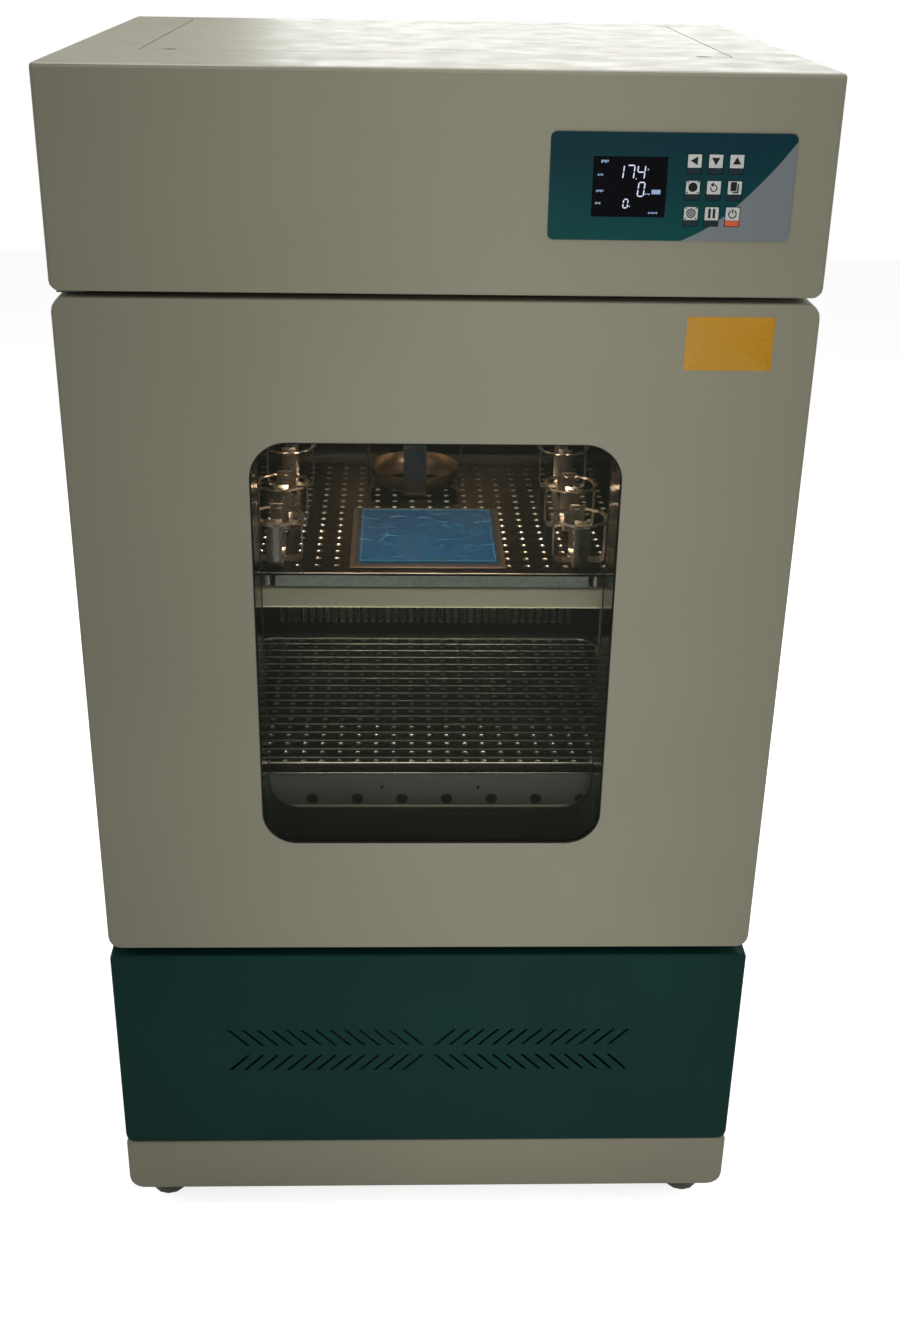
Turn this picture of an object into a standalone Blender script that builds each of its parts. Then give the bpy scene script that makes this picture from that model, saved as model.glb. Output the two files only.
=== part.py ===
"""Floor-standing double-layer shaking incubator, modelled as the pieces it is assembled from.

Metres, +Z up. The origin is on the floor under the middle of the cabinet, and the door faces -Y.
"""

import math

import bmesh
import bpy
from mathutils import Matrix, Vector

# Cabinet
WIDTH = 0.780
DEPTH = 0.680
FLOOR_GAP = 0.030
PLINTH_HEIGHT = 0.078
SKIRT_HEIGHT = 0.292
GAP_UNDER_DOOR = 0.011
DOOR_HEIGHT = 0.790
GAP_OVER_DOOR = 0.0055
HEADER_HEIGHT = 0.2155
SHEET = 0.0015
SEAT = 0.0003
OVERRUN = 0.010
OVERLAP = 0.002
BODY_CLEARANCE = 0.002
PLINTH_RADIUS = 0.018
PLINTH_SIDE = 0.019
SKIRT_RADIUS = 0.012
HEADER_RADIUS = 0.010
TOP_EDGE_RADIUS = 0.004
HEADER_SHELF = 0.030
BACK_INSET = 0.010
PANEL_FLANGE = 0.024

# Insulated body, chamber and air duct
SIDE_INSULATION = 0.072
FLOOR_INSULATION = 0.053
CEILING_INSULATION = 0.0512
REAR_INSULATION = 0.030
MOTOR_SPACE = 0.0302
LINER_FLANGE = 0.015
DUCT_DEPTH = 0.043
DUCT_SLOTS = 16
DUCT_SLOT_PITCH = 0.024
DUCT_SLOT_WIDTH = 0.006
DUCT_SLOT_HEIGHT = 0.030
DUCT_SLOT_RISE = 0.297
FAN_DROP = 0.175
FAN_CLEARANCE = 0.004
FAN_BLADE = (0.034, 0.002)
FAN_BLADE_PITCH = 28
FAN_RADIUS = 0.070
FAN_HUB_RADIUS = 0.020
FAN_BLADES = 5
FAN_SHAFT_RADIUS = 0.005
FAN_MOTOR_RADIUS = 0.040
FAN_INTAKE_RADIUS = 0.055
EVAPORATOR_SIZE = (0.440, 0.034, 0.220)
EVAPORATOR_RISE = 0.045
FIN_COUNT = 14
FIN_DEPTH = 0.012

# Door
DOOR_THICKNESS = 0.058
DOOR_SKIN_DEPTH = 0.045
DOOR_RADIUS = 0.015
DOOR_EDGE = 0.003
SEAL_THICKNESS = 0.012
SEAL_WIDTH = 0.018
WINDOW_WIDTH = 0.395
WINDOW_FOOT = 0.150
WINDOW_HEAD = 0.150
WINDOW_RADIUS = 0.040
WINDOW_STEPS = 5
GLASS = 0.004
GLASS_RECESS = 0.0015
GLASS_LAND = 0.012
PLUG_MARGIN = 0.014
PLUG_DEPTH = 0.022
HINGE_FROM_SIDE = 0.014
HINGE_FROM_FACE = 0.028
HINGE_PIN_RADIUS = 0.004
HINGE_PIN_LENGTH = 0.012
HINGE_PLATE = 0.003
HINGE_PLATE_WIDTH = 0.030
HINGE_PLATE_REACH = 0.010
HINGE_PLATE_GAP = 0.001
GRIP_HEIGHT = 0.160
GRIP_DEPTH = 0.014
GRIP_FRONT = 0.015
GRIP_BACK = 0.010
GRIP_ABOVE_MIDDLE = 0.054
LINER_INSET = 0.008

# Control panel on the header
OVERLAY_WIDTH = 0.241
OVERLAY_HEIGHT = 0.103
OVERLAY_FROM_SIDE = 0.042
OVERLAY_RISE = 0.057
OVERLAY_RADIUS = 0.006
OVERLAY_PROUD = 0.0015
KEY_PROUD = 0.0005
KEY_WIDTH = 0.0145
KEY_HEIGHT = 0.019
KEY_PITCH_X = 0.0207
KEY_PITCH_Z = 0.025
KEY_ACROSS = 0.134
KEY_RISE = 0.0835
KEY_DEPTH = 0.0028
KEY_COLUMNS = 3
KEY_ROWS = 3
DISPLAY_ACROSS = 0.0425
DISPLAY_RISE = 0.023
DISPLAY_WIDTH = 0.0725
DISPLAY_HEIGHT = 0.057
DISPLAY_DEPTH = 0.0044
BOARD_THICKNESS = 0.0016
BOARD_DEPTH = 0.018
BOARD_MARGIN = 0.020
CUTOUT_MARGIN = 0.012

# Skirt slots, four groups at 45 degrees that point to the middle
SLOTS_PER_GROUP = 13
SLOT_PITCH = 0.01825
SLOT_SPAN = 0.024
SLOT_WIDTH = 0.0032
SLOT_MIDDLE_GAP = 0.020
SLOT_UPPER_RISE = 0.021
SLOT_LOWER_DROP = 0.018
SKIRT_WALL = 0.002

# Top hatch
HATCH_FROM_SIDE = 0.080
HATCH_FROM_FACE = 0.165
HATCH_FROM_BACK = 0.043
HATCH_THICKNESS = 0.002
HATCH_SLIT = 0.0015
HATCH_LEDGE = 0.012
TOP_THICKNESS = 0.004
NOTCH_RADIUS = 0.009
NOTCH_INSET = 0.029

# Shaking rack
ORBIT = 0.013
RACK_SIDE_ROOM = 0.068
RACK_FRONT_ROOM = 0.0512
RACK_BACK_ROOM = 0.0318
PLATFORM_SHEET = 0.003
PLATFORM_OVERHANG = 0.002
LOWER_PLATFORM_RISE = 0.135
UPPER_PLATFORM_RISE = 0.399
TUBE = 0.025
STANDOFF_RADIUS = 0.008
STANDOFF_HEIGHT = 0.0175
STANDOFF_INSET = 0.054
LIP_FROM_STANDOFF = 0.012
POST_INSET = 0.040
POST_GAP = 0.001
RACK_PLATE = 0.008
APRON_HEIGHT = 0.038
APRON_HOLES = 7
APRON_HOLE_PITCH = 0.055
APRON_HOLE_RADIUS = 0.007
APRON_HOLE_DROP = 0.6
HOLE_COLUMNS = 5
HOLE_ROWS = 4
HOLE_MARGIN = (0.0692, 0.0694)
HOLE_RADIUS = 0.0035
HOLE_SIDES = 6
WIRE_RADIUS = 0.0012
WIRE_FRAME_RADIUS = 0.002
WIRE_LIFT = 0.012
WIRE_COUNT = 16
WIRE_MARGIN = 0.0355
WIRE_CORNER = 0.030
WIRE_SIDE_INSET = 0.004
WIRE_END_INSET = 0.006
WIRE_FOOT_RADIUS = 0.003

# Orbital drive
BED_THICKNESS = 0.008
BED_SIDE_INSET = 0.010
BED_FRONT_INSET = 0.025
HOUSING_HEIGHT = 0.014
HOUSING_WALL = 0.012
WEB_THICKNESS = 0.008
DRIVE_SHAFT_RADIUS = 0.011
IDLER_SHAFT_RADIUS = 0.008
PIN_RADIUS = 0.008
RUNNING_GAP = 0.0005
DRIVE_WEB_RADIUS = 0.034
IDLER_WEB_RADIUS = 0.025
COUNTERWEIGHT_RADIUS = 0.080
IDLER_INSET = (0.060, 0.075)
REAR_IDLER_INSET = 0.055
HOUSING_DROP = 0.022
PULLEY_RADIUS = 0.080
PULLEY_HEIGHT = 0.018
PULLEY_GAP = 0.008
MOTOR_PULLEY_RADIUS = 0.025
MOTOR_DISTANCE = 0.170
MOTOR_RADIUS = 0.042
MOTOR_HEIGHT = 0.115
MOTOR_SHAFT_RADIUS = 0.007
MOTOR_PLATE = 0.006
MOTOR_PLATE_DROP = 0.006
MOTOR_PLATE_MARGIN = 0.008
MOTOR_COLUMN_OFFSET = 0.055
MOTOR_COLUMN_RADIUS = 0.005
BELT_THICKNESS = 0.003
BELT_HEIGHT = 0.012

# Flask clamps and tacky mat
CLAMP_RADIUS = 0.030
CLAMP_HEIGHT = 0.060
CLAMP_STRAP = 0.016
STRAP_THICKNESS = 0.0015
CLAMP_RING = 0.004
CLAMP_RING_DROP = 0.004
CLAMP_INSETS = (0.075, 0.070, 0.065)
CLAMP_FRONT_INSETS = (0.045, 0.165)
CLAMP_BACK_INSET = 0.095
LARGE_CLAMP_RADIUS = 0.062
LARGE_CLAMP_HEIGHT = 0.120
LARGE_CLAMP_X = -0.019
LARGE_CLAMP_INSET = 0.085
TRAY_WIDTH = 0.185
TRAY_X = -0.005
TRAY_FRONT_INSET = 0.0145
TRAY_THICKNESS = 0.0015
MAT_WIDTH = 0.165
MAT_INSET = 0.0125
MAT_THICKNESS = 0.002

# Machine compartment and undercarriage
DECK = 0.003
FOOT_INSET = 0.045
FOOT_RADIUS = 0.022
FOOT_HEIGHT = 0.012
FOOT_ROD_RADIUS = 0.006
CASTER_SIDE_INSET = 0.130
CASTER_END_INSET = 0.120
CASTER_TRAIL = 0.020
WHEEL_RADIUS = 0.025
WHEEL_WIDTH = 0.020
WHEEL_CLEARANCE = 0.003
WHEEL_SIDE_GAP = 0.001
WHEEL_EDGE = 0.003
AXLE_RADIUS = 0.004
FORK_WALL = 0.003
FORK_PLATE_RADIUS = 0.026
FORK_PLATE = 0.008
COMPRESSOR_RADIUS = 0.075
COMPRESSOR_HEIGHT = 0.180
COMPRESSOR_INSET = (0.170, 0.180)
COMPRESSOR_DOME = 0.040
CONDENSER_SIZE = (0.280, 0.060, 0.220)
CONDENSER_INSET = (0.200, 0.075)
LOUVRE_COUNT = 8
LOUVRE_WIDTH = 0.260
LOUVRE_HEIGHT = 0.008
LOUVRE_PITCH = 0.022
LOUVRE_RISE = 0.042
GLAND_RADIUS = 0.012
GLAND_FROM_SIDE = 0.090
GLAND_RISE = 0.072

# Levels that follow from the sizes above
HALF = WIDTH / 2
FRONT = -DEPTH / 2
BACK = DEPTH / 2
FACE = FRONT + OVERLAY_PROUD + KEY_PROUD
PLINTH_TOP = FLOOR_GAP + PLINTH_HEIGHT
SKIRT_TOP = PLINTH_TOP + SKIRT_HEIGHT
SKIRT_MIDDLE = PLINTH_TOP + SKIRT_HEIGHT / 2
SLOT_UPPER_Z = SKIRT_MIDDLE + SLOT_UPPER_RISE
SLOT_LOWER_Z = SKIRT_MIDDLE - SLOT_LOWER_DROP
DOOR_BOTTOM = SKIRT_TOP + GAP_UNDER_DOOR
DOOR_TOP = DOOR_BOTTOM + DOOR_HEIGHT
GRIP_Z = (DOOR_BOTTOM + DOOR_TOP) / 2 + GRIP_ABOVE_MIDDLE
WINDOW_BOTTOM = DOOR_BOTTOM + WINDOW_FOOT
WINDOW_TOP = DOOR_TOP - WINDOW_HEAD
HEADER_BOTTOM = DOOR_TOP + GAP_OVER_DOOR
TOP = HEADER_BOTTOM + HEADER_HEIGHT
OVERLAY_LEFT = HALF - OVERLAY_FROM_SIDE - OVERLAY_WIDTH
OVERLAY_BOTTOM = HEADER_BOTTOM + OVERLAY_RISE
KEY_LEFT = OVERLAY_LEFT + KEY_ACROSS
KEY_TOP = OVERLAY_BOTTOM + KEY_RISE
DISPLAY_LEFT = OVERLAY_LEFT + DISPLAY_ACROSS
DISPLAY_BOTTOM = OVERLAY_BOTTOM + DISPLAY_RISE
DOOR_BACK = FACE + DOOR_THICKNESS
FRAME_FRONT = DOOR_BACK + SEAL_THICKNESS
BODY_FRONT = FRAME_FRONT + SHEET + SEAT
PANEL_BACK = BACK - BACK_INSET
BODY_BACK = PANEL_BACK - MOTOR_SPACE
BODY_BOTTOM = SKIRT_TOP + BODY_CLEARANCE
BODY_TOP = HEADER_BOTTOM - SEAT
CHAMBER_HALF = HALF - SIDE_INSULATION
CHAMBER_BOTTOM = BODY_BOTTOM + FLOOR_INSULATION
CHAMBER_TOP = BODY_TOP - CEILING_INSULATION
LINER_BACK = BODY_BACK - REAR_INSULATION
DUCT_FRONT = LINER_BACK - DUCT_DEPTH
DUCT_SLOT_Z = CHAMBER_BOTTOM + DUCT_SLOT_RISE
EVAPORATOR_Z = CHAMBER_BOTTOM + EVAPORATOR_RISE
FAN_Z = CHAMBER_TOP - FAN_DROP
BED_BOTTOM = CHAMBER_BOTTOM + SHEET + SEAT
BED_TOP = BED_BOTTOM + BED_THICKNESS
HOUSING_TOP = BED_TOP + HOUSING_HEIGHT
WEB_BOTTOM = HOUSING_TOP + SEAT
WEB_TOP = WEB_BOTTOM + WEB_THICKNESS
RACK_BOTTOM = WEB_TOP + SEAT
RACK_PLATE_TOP = RACK_BOTTOM + RACK_PLATE
RACK_FRONT = BODY_FRONT + RACK_FRONT_ROOM
RACK_BACK = DUCT_FRONT - RACK_BACK_ROOM
RACK_Y = (RACK_FRONT + RACK_BACK) / 2
PLATFORM_WIDTH = 2 * (CHAMBER_HALF - RACK_SIDE_ROOM)
PLATFORM_DEPTH = RACK_BACK - RACK_FRONT
LOWER_PLATFORM_Z = CHAMBER_BOTTOM + LOWER_PLATFORM_RISE
UPPER_PLATFORM_Z = CHAMBER_BOTTOM + UPPER_PLATFORM_RISE
HOLE_PITCH_X = (PLATFORM_WIDTH - 2 * HOLE_MARGIN[0]) / (HOLE_COLUMNS - 1)
HOLE_PITCH_Y = (PLATFORM_DEPTH - 2 * HOLE_MARGIN[1]) / (HOLE_ROWS - 1)
WIRE_PITCH = (PLATFORM_DEPTH - 2 * WIRE_MARGIN) / (WIRE_COUNT - 1)
LOWER_RAIL_TOP = LOWER_PLATFORM_Z - PLATFORM_SHEET - SEAT
UPPER_RAIL_TOP = UPPER_PLATFORM_Z - PLATFORM_SHEET - STANDOFF_HEIGHT
STANDOFF_X = PLATFORM_WIDTH / 2 - STANDOFF_INSET
POST_X = PLATFORM_WIDTH / 2 + POST_GAP + TUBE / 2
IDLER_X = PLATFORM_WIDTH / 2 - IDLER_INSET[0]
IDLER_Y = PLATFORM_DEPTH / 2 - IDLER_INSET[1]
IDLERS = ((-IDLER_X, -IDLER_Y), (IDLER_X, -IDLER_Y), (0.0, PLATFORM_DEPTH / 2 - REAR_IDLER_INSET))
CLAMP_ROWS = (*(RACK_FRONT + inset for inset in CLAMP_FRONT_INSETS), RACK_BACK - CLAMP_BACK_INSET)
CLAMP_COLUMNS = tuple(PLATFORM_WIDTH / 2 - inset for inset in CLAMP_INSETS)
SMALL_CLAMPS = (
    (CLAMP_COLUMNS[0], CLAMP_ROWS[0]), (CLAMP_COLUMNS[0], CLAMP_ROWS[1]), (CLAMP_COLUMNS[1], CLAMP_ROWS[2]),
    (-CLAMP_COLUMNS[2], CLAMP_ROWS[0]), (-CLAMP_COLUMNS[2], CLAMP_ROWS[1]), (-CLAMP_COLUMNS[2], CLAMP_ROWS[2]),
)
LARGE_CLAMP = (LARGE_CLAMP_X, RACK_BACK - LARGE_CLAMP_INSET)
TRAY_DEPTH = PLATFORM_DEPTH / 2
TRAY_CENTRE = (TRAY_X, RACK_FRONT + TRAY_FRONT_INSET + TRAY_DEPTH / 2)
MAT_DEPTH = TRAY_DEPTH - 2 * MAT_INSET
HOUSING_BOTTOM = BODY_BOTTOM - HOUSING_DROP
PULLEY_TOP = HOUSING_BOTTOM - PULLEY_GAP
PULLEY_BOTTOM = PULLEY_TOP - PULLEY_HEIGHT
MOTOR_X = MOTOR_DISTANCE - ORBIT
DECK_TOP = PLINTH_TOP - SEAT
FOOT_X = HALF - FOOT_INSET
FOOT_Y = BACK - FOOT_INSET
CASTER_X = HALF - CASTER_SIDE_INSET
CASTER_Y = BACK - CASTER_END_INSET
COMPRESSOR_AT = (COMPRESSOR_INSET[0] - HALF, BACK - COMPRESSOR_INSET[1])
CONDENSER_AT = (HALF - CONDENSER_INSET[0], BACK - CONDENSER_INSET[1])
LOUVRE_Z = PLINTH_TOP + LOUVRE_RISE
GLAND_AT = (GLAND_FROM_SIDE - HALF, PLINTH_TOP + GLAND_RISE)
HINGE_X = -HALF + HINGE_FROM_SIDE
HINGE_Y = FACE + HINGE_FROM_FACE

FINISHES = {
    "body_paint": ((0.245, 0.240, 0.195), 0.42, 0.0),
    "skirt_paint": ((0.012, 0.060, 0.056), 0.45, 0.0),
    "stainless": ((0.560, 0.540, 0.500), 0.25, 1.0),
    "zinc_steel": ((0.430, 0.440, 0.450), 0.45, 1.0),
    "black_plastic": ((0.012, 0.012, 0.013), 0.45, 0.0),
    "overlay_film": ((0.010, 0.110, 0.095), 0.35, 0.0),
    "key_film": ((0.700, 0.710, 0.700), 0.40, 0.0),
    "display_glass": ((0.006, 0.006, 0.008), 0.12, 0.0),
    "window_glass": ((0.200, 0.220, 0.210), 0.05, 0.0),
    "seal_rubber": ((0.040, 0.040, 0.042), 0.70, 0.0),
    "foam_core": ((0.300, 0.290, 0.240), 0.60, 0.0),
    "cast_alloy": ((0.380, 0.390, 0.400), 0.50, 1.0),
    "machine_black": ((0.018, 0.018, 0.020), 0.50, 0.0),
    "circuit_board": ((0.010, 0.090, 0.035), 0.50, 0.0),
    "mat_blue": ((0.010, 0.190, 0.480), 0.20, 0.0),
    "caster_tyre": ((0.030, 0.030, 0.032), 0.75, 0.0),
}


def clear_scene():
    """Remove what the file opens with."""
    for obj in list(bpy.data.objects):
        bpy.data.objects.remove(obj, do_unlink=True)


def collection(name):
    """Make a collection under the scene's own."""
    made = bpy.data.collections.new(name)
    bpy.context.scene.collection.children.link(made)
    return made


def make_material(name):
    """One Principled material from the table of finishes."""
    colour, roughness, metallic = FINISHES[name]
    made = bpy.data.materials.new(name)
    made.use_nodes = True
    shader = made.node_tree.nodes["Principled BSDF"]
    shader.inputs["Base Color"].default_value = (*colour, 1.0)
    shader.inputs["Roughness"].default_value = roughness
    shader.inputs["Metallic"].default_value = metallic
    made.diffuse_color = (*colour, 1.0)
    return made


clear_scene()
PARTS = collection("shaking_incubator")
CUTTERS = collection("cutters")
MATERIALS = {name: make_material(name) for name in FINISHES}


def piece(name, mesh, finish, origin=(0.0, 0.0, 0.0)):
    """Name a mesh that is in world coordinates and put its object's origin at a joint or at zero."""
    mesh.transform(Matrix.Translation(-Vector(origin)))
    mesh.materials.clear()
    mesh.materials.append(MATERIALS[finish])
    obj = bpy.data.objects.new(name, mesh)
    obj.location = origin
    PARTS.objects.link(obj)
    mesh.shade_smooth()
    mesh.set_sharp_from_angle(angle=math.radians(35))
    return obj


def combine(target, mesh, operation):
    """Add a live Boolean whose other operand is a hidden wire object."""
    other = bpy.data.objects.new(f"{target.name}_{operation.lower()}_{len(target.modifiers)}", mesh)
    other.hide_render = True
    other.display_type = "WIRE"
    CUTTERS.objects.link(other)
    modifier = target.modifiers.new(operation.lower(), "BOOLEAN")
    modifier.operation = operation
    modifier.solver = "EXACT"
    modifier.object = other


def cut(target, mesh):
    """Take a closed mesh away from a piece."""
    combine(target, mesh, "DIFFERENCE")


def fuse(target, mesh):
    """Weld a closed mesh onto a piece."""
    combine(target, mesh, "UNION")


def mesh_from(bm, name="form"):
    """Close a bmesh into a mesh whose faces point outwards."""
    bmesh.ops.remove_doubles(bm, verts=bm.verts, dist=1e-6)
    bmesh.ops.recalc_face_normals(bm, faces=bm.faces)
    mesh = bpy.data.meshes.new(name)
    bm.to_mesh(mesh)
    bm.free()
    return mesh


def baked(obj, matrix):
    """Turn a curve or a modified object into a closed mesh placed by a matrix."""
    bpy.context.scene.collection.objects.link(obj)
    graph = bpy.context.evaluated_depsgraph_get()
    raw = bpy.data.meshes.new_from_object(obj.evaluated_get(graph))
    bpy.data.objects.remove(obj, do_unlink=True)
    bm = bmesh.new()
    bm.from_mesh(raw)
    bmesh.ops.transform(bm, matrix=matrix, verts=bm.verts)
    return mesh_from(bm)


def joined(meshes):
    """Put several separate closed meshes into one, for a group of cutters."""
    bm = bmesh.new()
    for mesh in meshes:
        bm.from_mesh(mesh)
    made = bpy.data.meshes.new("group")
    bm.to_mesh(made)
    bm.free()
    return made


def box(low, high):
    """A box between two corners."""
    low, high = Vector(low), Vector(high)
    bm = bmesh.new()
    place = Matrix.Translation((low + high) / 2) @ Matrix.Diagonal((*(high - low), 1.0))
    bmesh.ops.create_cube(bm, size=1.0, matrix=place)
    return mesh_from(bm)


def centred_box(centre, size):
    """A box about its centre."""
    centre, half = Vector(centre), Vector(size) / 2
    return box(centre - half, centre + half)


def turned(profile, matrix=None, steps=24):
    """Revolve (radius, height) points about +Z, from the top of the axis down to its bottom."""
    mesh = bpy.data.meshes.new("profile")
    edges = [(i, i + 1) for i in range(len(profile) - 1)]
    mesh.from_pydata([(r, 0.0, z) for r, z in profile], edges, [])
    obj = bpy.data.objects.new("turned", mesh)
    screw = obj.modifiers.new("screw", "SCREW")
    screw.axis = "Z"
    screw.steps = screw.render_steps = steps
    screw.use_merge_vertices = True
    screw.merge_threshold = 1e-6
    return baked(obj, matrix or Matrix.Identity(4))


def cylinder(radius, low, high, at=(0.0, 0.0), steps=24):
    """An upright cylinder between two heights."""
    profile = [(0.0, high), (radius, high), (radius, low), (0.0, low)]
    return turned(profile, Matrix.Translation((at[0], at[1], 0.0)), steps)


def lying_cylinder(radius, low, high, x, z, steps=24):
    """A cylinder along Y between two depths."""
    profile = [(0.0, high), (radius, high), (radius, low), (0.0, low)]
    return turned(profile, Matrix.Translation((x, 0.0, z)) @ Matrix.Rotation(-math.pi / 2, 4, "X"), steps)


def facing_front(y):
    """A matrix that stands a flat outline upright in the XZ plane at a depth."""
    return Matrix(((1, 0, 0, 0), (0, 0, -1, y), (0, 1, 0, 0), (0, 0, 0, 1)))


def extruded(loops, thickness, matrix):
    """Extrude closed outlines about their own plane, inner loops being holes."""
    curve = bpy.data.curves.new("outline", "CURVE")
    curve.dimensions = "2D"
    curve.fill_mode = "BOTH"
    curve.extrude = thickness / 2
    for loop in loops:
        spline = curve.splines.new("POLY")
        spline.points.add(len(loop) - 1)
        spline.use_cyclic_u = True
        for point, (u, v) in zip(spline.points, loop):
            point.co = (u, v, 0.0, 1.0)
    return baked(bpy.data.objects.new("outline", curve), matrix)


def upright(loops, near, far):
    """An upright plate between two depths."""
    return extruded(loops, far - near, facing_front((near + far) / 2))


def level(loops, low, high):
    """A level plate between two heights."""
    return extruded(loops, high - low, Matrix.Translation((0.0, 0.0, (low + high) / 2)))


def rod(points, radius, cyclic=False):
    """A round wire through points."""
    curve = bpy.data.curves.new("wire", "CURVE")
    curve.dimensions = "3D"
    curve.bevel_depth = radius
    curve.bevel_resolution = 1
    curve.use_fill_caps = True
    spline = curve.splines.new("POLY")
    spline.points.add(len(points) - 1)
    spline.use_cyclic_u = cyclic
    for point, co in zip(spline.points, points):
        point.co = (*co, 1.0)
    return baked(bpy.data.objects.new("wire", curve), Matrix.Identity(4))


def arc(centre, radius, start, end, steps):
    """Points on an arc, angles in degrees."""
    angles = [math.radians(start + (end - start) * i / steps) for i in range(steps + 1)]
    return [(centre[0] + radius * math.cos(a), centre[1] + radius * math.sin(a)) for a in angles]


def circle(centre, radius, sides):
    """The corners of a regular polygon."""
    return arc(centre, radius, 0, 360, sides)[:-1]


def rounded(left, bottom, right, top, low_radius, high_radius=None, steps=4):
    """A rectangle whose lower and upper corners have their own radii."""
    high_radius = low_radius if high_radius is None else high_radius
    a, b = low_radius, high_radius
    return (
        arc((left + a, bottom + a), a, 180, 270, steps)
        + arc((right - a, bottom + a), a, 270, 360, steps)
        + arc((right - b, top - b), b, 0, 90, steps)
        + arc((left + b, top - b), b, 90, 180, steps)
    )


def rectangle(left, bottom, right, top):
    """A plain rectangle."""
    return [(left, bottom), (right, bottom), (right, top), (left, top)]


def rounded_front(mesh, depth, radius, segments=2):
    """Round the edges that bound the front face at a depth."""
    bm = bmesh.new()
    bm.from_mesh(mesh)
    bmesh.ops.dissolve_limit(bm, angle_limit=0.001, verts=bm.verts, edges=bm.edges)
    rim = [
        edge
        for edge in bm.edges
        if all(abs(vert.co.y - depth) < 1e-5 for vert in edge.verts)
    ]
    bmesh.ops.bevel(bm, geom=rim, offset=radius, segments=segments, profile=0.5, affect="EDGES")
    return mesh_from(bm)


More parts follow.
